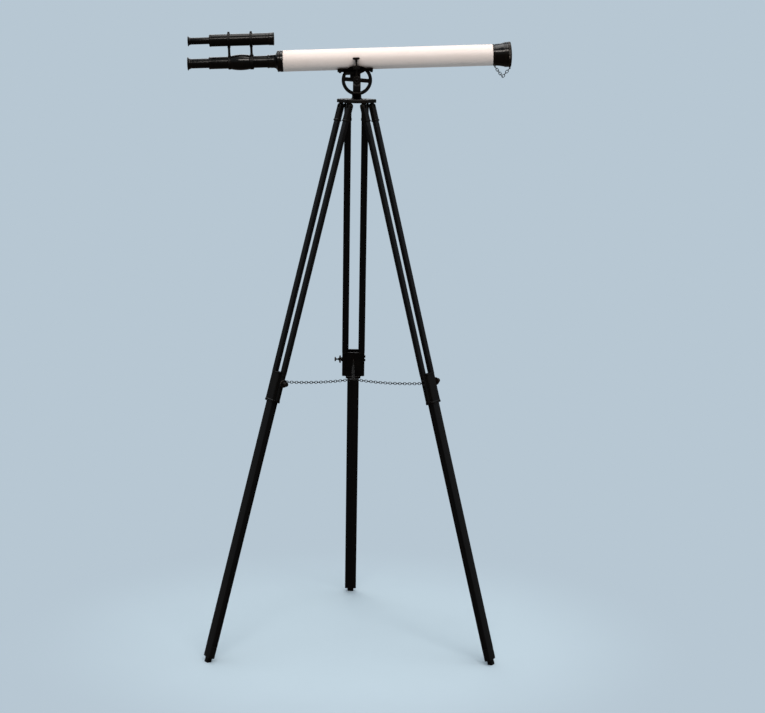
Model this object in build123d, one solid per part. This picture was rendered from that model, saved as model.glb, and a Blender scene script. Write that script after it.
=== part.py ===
from build123d import *
import os
from math import sin, cos, radians, sqrt, atan2, hypot

# Floor-standing refracting telescope on a folding wooden tripod, in millimetres.
# +Z is up, the objective end of the tube points towards +X, and one leg stands
# straight back along +Y. The origin is on the floor, under the middle of the
# overall box. Pieces are built about the tripod's axis and moved when saved.

os.makedirs("parts", exist_ok=True)

AXIS_X, AXIS_Y = 19.08, -102.52   # where the tripod's axis stands
BORE_FIT = 0.05                   # radial or side clearance of most bores and slots
SLIDE_FIT = 0.06                  # clearance of sliding tubes, screw seats and pin heads

# legs; lengths along a leg are measured down from its hinge pins
LEGS = {"back": 90.0, "left": 210.0, "right": 330.0}   # direction from +X, degrees
HINGE_Z = 1440.0                  # height of the leg pins
HINGE_R = 33.6                    # radius of the leg pins from the tripod axis
SPLAY = radians(15.33)            # leg angle from vertical
ROD_SPACING = 45.0                # centre to centre of a leg's two rods
ROD_W, ROD_T = 18.0, 10.4         # rod section, tangential x radial
ROD_TOP, ROD_END = 40.0, 715.0    # shoulders of the rods at ferrule and bracket
HEAD_TOP = 12.6                   # top of the rod's reduced head
HEAD_HALF_W, HEAD_HALF_T = 7.8, 4.4
TENON_IN, TENON_OUT = 3.6, 4.8    # rod tenon, towards and away from the leg's middle
TENON_HALF_T, TENON_L = 3.0, 16.0
CHEEK = 9.6                       # half width of the ferrule
FORK_GAP = 6.6                    # slot of the ferrule's fork
PIN_D = 4.0
BRACKET_END = ROD_END + 72.0
BRACKET_HALF = ROD_SPACING / 2 + ROD_W / 2 - 0.4
BAR_W, BAR_T = 32.3, 16.5         # lower bar section
BAR_TOP, BAR_END = 719.0, 1481.0
BAR_FIT = 0.4                     # gap round the bar in the bracket
GROOVE_W, GROOVE_D = 11.3, 3.2    # grooves in the bar's two edges
FOOT_L = 30.0
FOOT_TENON_L = 24.0
FOOT_TENON_HALF = (5.0, 4.0)      # tangential, radial
CLAMP_AT = 737.0                  # clamp screw, along the leg
CLAMP_R = 2.5
CLAMP_SEAT = BRACKET_HALF + 3.4   # outer end of the clamp screw's boss
EYE_AT, EYE_IN = 735.0, 15.5      # chain eye along the leg, and inward of its centre
EYE_R = 4.6

# chains
LINK_L, LINK_W, LINK_D = 10.6, 7.6, 1.6
RING_Z, RING_R, RING_WIRE = 715.5, 8.0, 2.2
N_INNER, N_OUTER = 15, 13         # links in the two parts of a spreader chain
INNER_FIRST, OUTER_FIRST = 2.5, 5.8   # first link's centre from the ring, from the eye
SAG = 4.0

# crown
CROWN_LO, CROWN_HI, HUB_TOP = 1447.5, 1456.9, 1457.7
RECESS_TOP = 1452.6               # roof of the recess for the spindle's nut
LOBE_R = 10.9
TONGUE_W, TONGUE_R = 6.0, 4.3

# spindle, yoke and altitude axis
SPINDLE_R, SPINDLE_END_R = 7.0, 5.0
SPINDLE_TOP, SPINDLE_SHOULDER = 1462.0, 1452.5
YOKE_BOTTOM = HUB_TOP + 0.05
YOKE_FLOOR, YOKE_CROSS_TOP = 1463.0, 1468.2
ALT_Z = 1505.6
TILT = 2.5                        # tube's rise at rest, degrees
ARM_Y0, ARM_Y1 = 33.0, 40.5       # inner and outer faces of the yoke's arms
ARM_W = 20.0
BOSS_R, BOSS_END = 10.0, ARM_Y1 + 1.3
AXLE_D, AXLE_MID_D = 8.0, 12.0
WHEEL_R, WHEEL_RIM, WHEEL_T = 39.6, 8.8, 10.0
WHEEL_TOP = 21.2                  # the wheel is cut flat here, above the altitude axis
SPOKE_W, SPOKE_TURN = 10.4, 6.0

# tube and saddle; x is measured along the tube from the altitude axis
TUBE_H = 54.0                     # tube axis above the altitude axis
TUBE_OD, TUBE_ID, LEATHER_OD = 52.0, 49.6, 54.8
TUBE_X0, TUBE_X1 = -189.0, 353.5
SADDLE_R, SADDLE_X0, SADDLE_X1 = 33.0, -49.5, 42.5
FASTENER_X, FASTENER_R = (-43.0, 38.6), 2.0
THUMB_Y, THUMB_R = -37.0, 2.05    # altitude thumb screw
HOOD_R = 30.5
HOOD_EYE_X, HOOD_EYE_R = 358.6, 27.6  # cap chain's staple on the hood, radius it stands on
CAP_EYE_X, CAP_EYE_R = 397.2, 32.6    # the same on the dust cap
STAPLE_DROP = 2.4                 # staple hole below that radius
DRAW_R, DRAW_BORE_R = 15.5, 13.6
EYE_TUBE_R, EYE_TUBE_BORE_R = 12.4, 11.2
FINDER_H = 57.5                   # finder axis above the tube axis
FINDER_R, FINDER_BORE_R = 15.5, 14.3
FINDER_DRAW_R, FINDER_DRAW_BORE_R = 8.9, 7.9
FINDER_SCREW_R = 1.25

TILTED = Pos(0, 0, ALT_Z) * Rot(0, -TILT, 0)
TUBE_AXIS = TILTED * Pos(0, 0, TUBE_H)
FINDER_AXIS = TILTED * Pos(0, 0, TUBE_H + FINDER_H)


# ------------------------------------------------------------------ helpers
def save_part(name, *pieces, frame=Location()):
    """Place the pieces by their frame, then on the tripod's axis; write one file."""
    place = Pos(AXIS_X, AXIS_Y, 0) * frame
    solids = [place * solid for piece in pieces for solid in piece.solids()]
    shape = solids[0] if len(solids) == 1 else Compound(solids)
    export_step(shape, "parts/" + name + ".step")


def block(x0, x1, y0, y1, z0, z1):
    centre = Pos((x0 + x1) / 2, (y0 + y1) / 2, (z0 + z1) / 2)
    return centre * Box(x1 - x0, y1 - y0, z1 - z0)


def column(half_x, half_y, z0, z1, x=0.0):
    """Block centred on (x, 0), given by its half widths."""
    return block(x - half_x, x + half_x, -half_y, half_y, z0, z1)


def cyl_x(r, x0, x1, y=0.0, z=0.0):
    return Pos((x0 + x1) / 2, y, z) * Rot(0, 90, 0) * Cylinder(r, x1 - x0)


def cyl_y(r, y0, y1, x=0.0, z=0.0):
    return Pos(x, (y0 + y1) / 2, z) * Rot(90, 0, 0) * Cylinder(r, y1 - y0)


def cyl_z(r, z0, z1, x=0.0, y=0.0):
    return Pos(x, y, (z0 + z1) / 2) * Cylinder(r, z1 - z0)


def pipe_x(r_out, r_in, x0, x1, z=0.0):
    return cyl_x(r_out, x0, x1, 0, z) - cyl_x(r_in, x0 - 1, x1 + 1, 0, z)


def chamfer_uprights(shape, size):
    return chamfer(shape.edges().filter_by(Axis.Z), size)


def fillet_uprights(shape, radius):
    return fillet(shape.edges().filter_by(Axis.Z), radius)


def turned(path, axis=Axis.X):
    """Solid of revolution. Points are (x, r) about X or (r, z) about Z;
    ("arc", middle, end) runs an arc from the point before it."""
    def vector(point):
        return Vector(point[0], 0, point[1])

    edges = []
    here = path[0]
    for step in path[1:]:
        if step[0] == "arc":
            _, middle, end = step
            edges.append(Edge.make_three_point_arc(vector(here), vector(middle), vector(end)))
            here = end
        else:
            edges.append(Edge.make_line(vector(here), vector(step)))
            here = step
    edges.append(Edge.make_line(vector(here), vector(path[0])))
    return revolve(Face(Wire(edges)), axis, 360)


def dome_middle(x_axis, x_rim, r_rim):
    """Point halfway out on a sphere's arc between its rim and the X axis."""
    depth = x_rim - x_axis
    sphere_r = (r_rim * r_rim + depth * depth) / (2 * abs(depth))
    r = r_rim / 2
    bend = (sphere_r - sqrt(sphere_r * sphere_r - r * r)) * (1 if depth > 0 else -1)
    return (x_axis + bend, r)


def lens(left, left_rim, right, right_rim, r):
    """Lens about X; each face is given on the axis and at the rim. The left is curved."""
    path = [(left, 0), ("arc", dome_middle(left, left_rim, r), (left_rim, r)), (right_rim, r)]
    if right == right_rim:
        path.append((right, 0))
    else:
        path.append(("arc", dome_middle(right, right_rim, r), (right, 0)))
    return turned(path)


def leg_directions(azimuth):
    """Unit vectors outward and tangential at a leg."""
    angle = radians(azimuth)
    return Vector(cos(angle), sin(angle), 0), Vector(-sin(angle), cos(angle), 0)


def leg_point(azimuth, r, z, along=0.0):
    outward, tangent = leg_directions(azimuth)
    return outward * r + tangent * along + Vector(0, 0, z)


def leg_frame(azimuth):
    """x tangential, y outward, z down along the leg from its hinge."""
    outward, tangent = leg_directions(azimuth)
    down = outward * sin(SPLAY) - Vector(0, 0, cos(SPLAY))
    hinge = leg_point(azimuth, HINGE_R, HINGE_Z)
    return Plane(origin=hinge, x_dir=tangent, z_dir=down).location


# --------------------------------------------------------------------- legs
def make_tenon(side, z0, z1):
    """A rod's lower tenon, or the cutter for its socket."""
    middle = ROD_SPACING / 2
    x0, x1 = sorted((side * (middle - TENON_IN), side * (middle + TENON_OUT)))
    return block(x0, x1, -TENON_HALF_T, TENON_HALF_T, z0, z1)


def make_rod(side):
    middle = side * ROD_SPACING / 2
    body = column(ROD_W / 2, ROD_T / 2, ROD_TOP, ROD_END, middle)
    body = chamfer_uprights(body, 1.2)
    head = column(HEAD_HALF_W, HEAD_HALF_T, HEAD_TOP, ROD_TOP, middle)
    return body + head + make_tenon(side, ROD_END, ROD_END + TENON_L)


def make_ferrule(side):
    """Capped rod end: a socket below, a fork with the hinge eye above."""
    cap_r = 6.0
    rim_end = ROD_TOP + 1.5
    cup = column(CHEEK, cap_r, 0.0, rim_end) + cyl_x(cap_r, -CHEEK, CHEEK)
    cup = cup + column(10.4, 6.9, rim_end - 4.0, rim_end)
    cup = chamfer_uprights(cup, 1.2)
    cup = cup - column(FORK_GAP / 2, 7.0, -7.0, 6.6)
    cup = cup - column(HEAD_HALF_W, HEAD_HALF_T, HEAD_TOP, ROD_TOP)
    cup = cup - column(ROD_W / 2, ROD_T / 2, ROD_TOP, ROD_TOP + 2.0)
    cup = cup - cyl_x(PIN_D / 2 + BORE_FIT, -CHEEK - 1, CHEEK + 1)
    return Pos(side * ROD_SPACING / 2, 0, 0) * cup


def make_bracket():
    top, end = ROD_END, BRACKET_END
    # half width, half thickness, top, end; corner radius
    wings = fillet_uprights(column(BRACKET_HALF, 5.5, top, end), 3.0)
    barrel = fillet_uprights(column(19.3, 11.4, top - 2.0, end + 2.0), 3.0)
    lower_lip = fillet_uprights(column(20.6, 12.6, end - 2.0, end + 4.0), 3.4)
    upper_lip = fillet_uprights(column(20.2, 12.2, top - 4.0, top), 3.4)
    bracket = wings + barrel + lower_lip + upper_lip
    # round boss for the clamp screw, and two pin heads on the opposite edge
    bracket = bracket + cyl_x(5.4, CLAMP_SEAT - 4.4, CLAMP_SEAT, 0, CLAMP_AT)
    for z in (CLAMP_AT - 9.0, CLAMP_AT + 2.0):
        bracket = bracket + cyl_x(3.2, -BRACKET_HALF - 2.6, -BRACKET_HALF + 2.0, 0, z)
    # eye for the spreader chain on the inner face
    eye = block(-1.5, 1.5, -EYE_IN, -10.0, EYE_AT - EYE_R, EYE_AT + EYE_R)
    eye = eye + cyl_x(EYE_R, -1.5, 1.5, -EYE_IN, EYE_AT)
    bracket = bracket + eye
    bracket = bracket - cyl_x(2.6, -3, 3, -EYE_IN, EYE_AT)
    # channel for the bar and sockets for the rod tenons
    bracket = bracket - column(BAR_W / 2 + BAR_FIT, BAR_T / 2 + BAR_FIT, top - 6, end + 6)
    for side in (1, -1):
        bracket = bracket - make_tenon(side, top - 1, top + TENON_L)
    # the upper lip overlaps the rods' inner edges
    for side in (1, -1):
        middle = side * ROD_SPACING / 2
        bracket = bracket - column(ROD_W / 2, ROD_T / 2, top - 5, top, middle)
    return bracket - cyl_x(CLAMP_R + BORE_FIT, BAR_W / 2 - 1, BRACKET_HALF + 6, 0, CLAMP_AT)


def make_foot_tenon(end):
    return column(*FOOT_TENON_HALF, BAR_END - FOOT_TENON_L, end)


def make_bar():
    half = BAR_W / 2
    bar = chamfer_uprights(column(half, BAR_T / 2, BAR_TOP, BAR_END), 1.0)
    for side in (-1, 1):
        x0, x1 = sorted((side * (half - GROOVE_D), side * (half + 1)))
        bar = bar - block(x0, x1, -GROOVE_W / 2, GROOVE_W / 2, BAR_TOP - 1, BAR_END - 30.0)
    return bar - make_foot_tenon(BAR_END + 1)


def make_foot():
    tip = chamfer_uprights(column(9.0, 6.5, BAR_END, BAR_END + FOOT_L), 2.0)
    return tip + make_foot_tenon(BAR_END)


def make_clamp_screw():
    tip = BAR_W / 2 - GROOVE_D + 0.05
    # distance out from the boss, radius
    knob = [(0.1, CLAMP_R), (0.1, 8.6), (0.9, 10.6), (3.4, 10.6), (4.2, 9.6), (5.0, 4.2),
            (8.5, 2.0), (13.0, 2.0), (14.2, 5.4), (14.8, 6.2), (16.8, 6.2), (17.6, 5.2),
            (17.9, 0)]
    path = [(tip, 0), (tip, CLAMP_R)] + [(CLAMP_SEAT + out, r) for out, r in knob]
    return Pos(0, 0, CLAMP_AT) * turned(path)


# ------------------------------------------------------------------- chains
def make_link():
    """Oval link in the XY plane, long way along X, centred on the origin."""
    bend_r = (LINK_W - LINK_D) / 2
    half = (LINK_L - LINK_D) / 2 - bend_r
    wire_r = LINK_D / 2
    right = Rot(0, 0, -90) * Torus(bend_r, wire_r, major_angle=180, align=None)
    left = Rot(0, 0, 90) * Torus(bend_r, wire_r, major_angle=180, align=None)
    link = Pos(half, 0, 0) * right + Pos(-half, 0, 0) * left
    for side in (-1, 1):
        link = link + cyl_x(wire_r, -half, half, side * bend_r)
    return link


LINK = make_link()


def run_of_links(start, end, side, first_at, pitch, count, first_upright):
    """Links from start towards end; every other link is turned a quarter."""
    along = (end - start).normalized()
    up = along.cross(side).normalized()
    links = []
    for k in range(count):
        centre = start + along * (first_at + k * pitch)
        upright = (k % 2 == 0) == first_upright
        plane = Plane(origin=centre, x_dir=along, z_dir=side if upright else up)
        links.append(plane.location * LINK)
    return links


def spreader_layout():
    """(r, z) of ring, eye and the sagging joint between the two parts; link pitch."""
    ring_r, ring_z = RING_R, RING_Z
    eye_r = HINGE_R + EYE_AT * sin(SPLAY) - EYE_IN * cos(SPLAY)
    eye_z = HINGE_Z - EYE_IN * sin(SPLAY) - EYE_AT * cos(SPLAY)
    gaps = N_INNER + N_OUTER - 1
    pitch = (hypot(eye_r - ring_r, eye_z - ring_z) - INNER_FIRST - OUTER_FIRST) / gaps
    # stretch the pitch until the links fill both sloping runs
    for _ in range(30):
        inner = INNER_FIRST + (N_INNER - 0.5) * pitch
        outer = OUTER_FIRST + (N_OUTER - 0.5) * pitch
        share = inner / (inner + outer)
        joint_r = ring_r + (eye_r - ring_r) * share
        joint_z = ring_z + (eye_z - ring_z) * share - SAG
        inner_run = hypot(joint_r - ring_r, joint_z - ring_z)
        outer_run = hypot(eye_r - joint_r, eye_z - joint_z)
        pitch += (inner_run + outer_run - inner - outer) / gaps
    return (ring_r, ring_z), (eye_r, eye_z), (joint_r, joint_z), pitch


def make_spreader_chain(azimuth):
    *places, pitch = spreader_layout()
    ring, eye, joint = [leg_point(azimuth, r, z) for r, z in places]
    _, side = leg_directions(azimuth)
    inner = run_of_links(ring, joint, side, INNER_FIRST, pitch, N_INNER, True)
    outer = run_of_links(eye, joint, side, OUTER_FIRST, pitch, N_OUTER, False)
    return inner, outer


def make_cap_chain():
    """Cap chain as a V between the staples of the hood and the cap, in tube coordinates."""
    hood = (HOOD_EYE_X, -HOOD_EYE_R - STAPLE_DROP)
    cap = (CAP_EYE_X, -CAP_EYE_R - STAPLE_DROP)
    first = 4.1
    n_hood, hood_pitch, hood_tail = 5, 6.1, 4.5   # tail: last link's centre to the V's point
    n_cap, cap_pitch, cap_tail = 4, 7.32, 2.84
    hood_run = first + (n_hood - 1) * hood_pitch + hood_tail
    cap_run = first + (n_cap - 1) * cap_pitch + cap_tail
    dx, dz = cap[0] - hood[0], cap[1] - hood[1]
    span = hypot(dx, dz)
    along = (hood_run**2 - cap_run**2 + span**2) / (2 * span)
    down = sqrt(hood_run**2 - along**2)
    point = (hood[0] + dx / span * along + dz / span * down,
             hood[1] + dz / span * along - dx / span * down)
    start, end, bottom = [Vector(x, 0, z) for x, z in (hood, cap, point)]
    side = Vector(0, 1, 0)
    return (run_of_links(start, bottom, side, first, hood_pitch, n_hood, False),
            run_of_links(end, bottom, side, first, cap_pitch, n_cap, False))


# -------------------------------------------------------------------- crown
def make_hinge_pin(middle):
    seat = CHEEK + SLIDE_FIT
    head = [(seat, PIN_D / 2), (seat, 3.1), (seat + 1.0, 3.1), (seat + 1.5, 1.8), (seat + 1.5, 0)]
    path = [(-x, r) for x, r in reversed(head)] + head
    return Pos(middle, 0, 0) * turned(path)


def make_crown():
    """Lobed plate with a tongue over each rod; also returns the hinge pins."""
    middles = (-ROD_SPACING / 2, ROD_SPACING / 2)
    lobes = [leg_point(azimuth, HINGE_R, 0, middle)
             for azimuth in LEGS.values() for middle in middles]
    lobes.sort(key=lambda point: atan2(point.Y, point.X))
    outline = Polygon(*[(point.X, point.Y) for point in lobes], align=None)
    plate = offset(outline, LOBE_R, kind=Kind.ARC)
    crown = Pos(0, 0, CROWN_LO) * extrude(plate, CROWN_HI - CROWN_LO)
    crown = chamfer(crown.edges().group_by(Axis.Z)[-1], 1.6)
    crown = crown + cyl_z(17.0, CROWN_HI, HUB_TOP)
    crown = crown + cyl_z(17.5, CROWN_LO - 1.5, CROWN_LO)
    pins = []
    for azimuth in LEGS.values():
        hinge = Plane(origin=leg_point(azimuth, HINGE_R, HINGE_Z),
                      x_dir=leg_directions(azimuth)[1], z_dir=Vector(0, 0, 1)).location
        for middle in middles:
            tongue = column(TONGUE_W / 2, TONGUE_R, 0, CROWN_LO - HINGE_Z + 0.5, middle)
            tongue = tongue + cyl_x(TONGUE_R, middle - TONGUE_W / 2, middle + TONGUE_W / 2)
            crown = crown + hinge * tongue
            crown = crown - hinge * cyl_x(PIN_D / 2, middle - TONGUE_W, middle + TONGUE_W)
            pins.append(hinge * make_hinge_pin(middle))
    crown = crown - cyl_z(SPINDLE_R + BORE_FIT, CROWN_LO - 5, HUB_TOP + 1)
    crown = crown - cyl_z(13.0, CROWN_LO - 3, RECESS_TOP)
    return crown, pins


# --------------------------------------------------------- yoke and spindle
def make_yoke():
    pillar = turned([(0, YOKE_BOTTOM), (13.2, YOKE_BOTTOM), (13.2, YOKE_BOTTOM + 1.6),
                     (12.4, YOKE_BOTTOM + 3.0), (12.0, 1464.0), (0, 1464.0)], Axis.Z)
    outer = Plane.YZ * (Pos(0, 1485.3) * RectangleRounded(2 * ARM_Y1, 44.6, 19.0))
    inner = Plane.YZ * (Pos(0, 1493.7) * RectangleRounded(2 * ARM_Y0, 50.4, 11.0))
    fork = extrude(outer, ARM_W / 2, both=True) - extrude(inner, ARM_W, both=True)
    fork = fork & column(40, 60, YOKE_FLOOR, ALT_Z)
    cross = fillet_uprights(column(12.0, 24.0, YOKE_FLOOR, YOKE_CROSS_TOP), 6.0)
    yoke = pillar + fork + cross
    for side in (-1, 1):
        y0, y1 = sorted((side * (ARM_Y0 - 0.5), side * BOSS_END))
        yoke = yoke + cyl_y(BOSS_R, y0, y1, 0, ALT_Z)
        # bead across the foot of each arm
        bead_y0, bead_y1 = sorted((side * (ARM_Y0 + 2.0), side * (ARM_Y1 + 1.5)))
        yoke = yoke + block(-11.4, 11.4, bead_y0, bead_y1, 1471.2, 1475.0)
        yoke = yoke - cyl_y(AXLE_D / 2 + BORE_FIT, y0 - 1, y1 + 1, 0, ALT_Z)
    yoke = yoke - cyl_z(SPINDLE_END_R, YOKE_BOTTOM - 1, SPINDLE_TOP)
    # the wheel's rim runs in a groove in the fork's floor
    gap = 0.7
    return yoke - cyl_y(WHEEL_R + gap, -WHEEL_T / 2 - gap, WHEEL_T / 2 + gap, 0, ALT_Z)


def make_spindle():
    top = cyl_z(SPINDLE_END_R, YOKE_BOTTOM, SPINDLE_TOP)
    middle = cyl_z(SPINDLE_R, SPINDLE_SHOULDER, YOKE_BOTTOM)
    return top + middle + cyl_z(SPINDLE_END_R, 1447.0, SPINDLE_SHOULDER)


def make_washer_and_nut():
    washer = cyl_z(11.5, 1451.5, SPINDLE_SHOULDER) - cyl_z(SPINDLE_END_R, 1451, 1453)
    nut = extrude(Pos(0, 0, 1446.6) * RegularPolygon(9.6, 6), 4.9)
    return washer, nut - cyl_z(SPINDLE_END_R, 1446, 1452)


# ------------------------- wheel and saddle, origin on the altitude axis
def make_axle():
    middle_end, end = ARM_Y0 - 0.6, BOSS_END + 0.6
    return cyl_y(AXLE_MID_D / 2, -middle_end, middle_end) + cyl_y(AXLE_D / 2, -end, end)


def make_wheel():
    wheel = cyl_y(WHEEL_R, -WHEEL_T / 2, WHEEL_T / 2)
    wheel = wheel - cyl_y(WHEEL_R - WHEEL_RIM, -WHEEL_T, WHEEL_T)
    spoke = column(WHEEL_R - 2, 3.2, -SPOKE_W / 2, SPOKE_W / 2)
    wheel = wheel + Rot(0, SPOKE_TURN, 0) * spoke + Rot(0, SPOKE_TURN + 90, 0) * spoke
    wheel = wheel + cyl_y(11.0, -8.0, 8.0) + cyl_y(8.6, -12.0, 12.0)
    wheel = wheel + block(-17.4, 9.9, -4.2, 4.2, 3.0, 25.0)   # web from hub to saddle
    wheel = wheel & column(60, 20, -60, WHEEL_TOP)
    return wheel - cyl_y(AXLE_MID_D / 2, -20, 20)


def make_saddle():
    """Trough under the tube, arched cheeks, pad on the wheel and clamp lug."""
    tube_space = cyl_x(LEATHER_OD / 2, -60, 60, 0, TUBE_H)
    trough = cyl_x(SADDLE_R, SADDLE_X0, SADDLE_X1, 0, TUBE_H)
    trough = (trough & block(SADDLE_X0, SADDLE_X1, -40, 40, 0, 30.0)) - tube_space
    for x in FASTENER_X:
        trough = trough - cyl_z(FASTENER_R, 10, 40, x, 0)
    cheeks = cyl_x(SADDLE_R, -27, 27, 0, TUBE_H) & cyl_y(42.0, -40, 40, 0, -4.2)
    cheeks = (cheeks & column(27, 40, 20.0, 40.0)) - tube_space
    # side outline of the pad, (x, z)
    pad_outline = [(-30, 30), (-30, 13.6), (-19, 13.6), (-13, 16), (10, 16), (20, 20.5), (20, 30)]
    pad_half = 10.5
    pad_wire = Wire.make_polygon([Vector(x, -pad_half, z) for x, z in pad_outline])
    pad = extrude(Face(pad_wire), 2 * pad_half, dir=(0, 1, 0))
    lug = block(-8.5, 8.5, -42.6, -18.0, 27.5, 37.0)
    lug = fillet(lug.edges().filter_by(Axis.Z).group_by(Axis.Y)[0], 5.5)
    pad = pad - tube_space
    lug = lug - tube_space - cyl_z(THUMB_R + BORE_FIT, 20, 42, 0, THUMB_Y)
    # the wheel's rim is let into the pad and the trough
    slot_half, slot_top = WHEEL_T / 2 + BORE_FIT, WHEEL_TOP + 0.05
    pad = pad - column(60, slot_half, 10.0, slot_top)
    return trough + cheeks + pad + lug - column(34, slot_half, 18.0, slot_top)


def make_saddle_fasteners():
    bottom = TUBE_H - SADDLE_R
    bore_bottom = TUBE_H - TUBE_ID / 2
    nut_z = bore_bottom + 0.6
    fasteners = []
    for x in FASTENER_X:
        head = cyl_z(3.2, bottom - 2.2, bottom, x, 0)
        fasteners.append(head + cyl_z(FASTENER_R, bottom - 0.5, bore_bottom + 4.0, x, 0))
        nut = Pos(x, 0, nut_z) * extrude(RegularPolygon(3.9, 6), 3.0)
        fasteners.append(nut - cyl_z(FASTENER_R, nut_z - 1, nut_z + 5, x, 0))
    return fasteners


def make_thumb_screw():
    """Upright screw through the lug, its tip just above the -Y boss."""
    tip = BOSS_R + SLIDE_FIT
    path = [(0, tip), (THUMB_R, tip), (THUMB_R, 46.5), (2.9, 47.5), (2.9, 52.0), (8.2, 53.4),
            (9.0, 54.2), (9.0, 57.6), (8.2, 58.6), (3.0, 59.0), (0, 59.0)]
    return Pos(0, THUMB_Y, 0) * turned(path, Axis.Z)


# ------------------------------------------- tube pieces, X along their axis
def make_tube(outer_d, inner_d):
    """Full-length tube with holes for the saddle fasteners."""
    tube = pipe_x(outer_d / 2, inner_d / 2, TUBE_X0, TUBE_X1)
    for x in FASTENER_X:
        tube = tube - cyl_z(FASTENER_R, -40, 0, x, 0)
    return tube


def add_staple(body, x, r_out, keep_out):
    """Small staple under the body for the cap's chain, with a hole across it."""
    staple = block(x - 1.9, x + 1.9, -1.1, 1.1, -r_out - 2.6, -r_out + 0.6)
    staple = staple + cyl_y(2.3, -1.1, 1.1, x, -r_out - STAPLE_DROP)
    return body + (staple - keep_out) - cyl_y(1.3, -2, 2, x, -r_out - STAPLE_DROP)


def make_objective_cell():
    cell = turned([
        (336.0, 21.5), (336.0, TUBE_ID / 2), (TUBE_X1, TUBE_ID / 2), (TUBE_X1, 27.6),
        (355.5, 27.9), (356.8, 27.2), (358.0, 27.5), ("arc", (372.0, 28.9), (381.0, HOOD_R)),
        (393.6, HOOD_R), (393.6, 28.4), (372.5, 25.6), (372.5, 23.1), (356.0, 23.1),
        (356.0, 21.5)])
    keep_out = turned([(340.0, 0), (340.0, 27.2), (380.0, 27.2), (380.0, 0)])
    return add_staple(cell, HOOD_EYE_X, HOOD_EYE_R, keep_out)


def make_dust_cap():
    bore_r = HOOD_R + SLIDE_FIT
    cap = turned([
        (383.4, bore_r), (383.4, 31.6), (384.6, 32.1), (391.6, 32.1), (393.0, 31.8),
        (393.6, CAP_EYE_R), (398.2, CAP_EYE_R), (399.6, 31.6),
        ("arc", dome_middle(403.2, 399.6, 31.6), (403.2, 0)), (401.4, 0),
        ("arc", dome_middle(401.4, 398.0, 29.0), (398.0, 29.0)), (394.2, bore_r)])
    return add_staple(cap, CAP_EYE_X, CAP_EYE_R, cyl_x(31.8, 380, 410))


def make_finder_bracket(x, half_w, collar_r):
    """Collar on the draw tube, post, and ring round the finder tube."""
    collar = pipe_x(collar_r, DRAW_R, x - half_w, x + half_w)
    rims = collar.edges().filter_by(GeomType.CIRCLE).group_by(SortBy.RADIUS)[-1]
    collar = chamfer(rims, 0.8)
    clip = pipe_x(FINDER_R + 2.2, FINDER_R, x - 3.2, x + 3.2, FINDER_H)
    bottom, top = FINDER_H - FINDER_R, FINDER_H + FINDER_R
    post = cyl_z(3.2, collar_r - 1.5, bottom - 0.6, x, 0)
    post = post + cyl_z(3.6, collar_r - 1.5, collar_r + 2.2, x, 0)
    post = post + cyl_z(4.1, bottom - 4.2, bottom - 0.6, x, 0)
    nub = cyl_z(3.2, top + 1.0, top + 3.6, x, 0)
    bracket = collar + clip + post + nub
    bracket = bracket - cyl_x(FINDER_R, x - 8, x + 8, 0, FINDER_H) - cyl_x(DRAW_R, x - 8, x + 8)
    return bracket - cyl_z(FINDER_SCREW_R, top, top + 6, x, 0)


def make_finder_screw(x):
    # radius, height above the finder tube
    profile = [(0, 0), (FINDER_SCREW_R, 0), (FINDER_SCREW_R, 3.6), (2.8, 3.6), (2.8, 5.2),
               (2.1, 5.8), (0, 5.9)]
    path = [(r, FINDER_H + FINDER_R + z) for r, z in profile]
    return Pos(x, 0, 0) * turned(path, Axis.Z)


# finder brackets: x, collar half width, collar radius
FINDER_BRACKETS = [(-327.6, 3.6, 17.9), (-270.0, 5.0, 19.2)]

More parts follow.
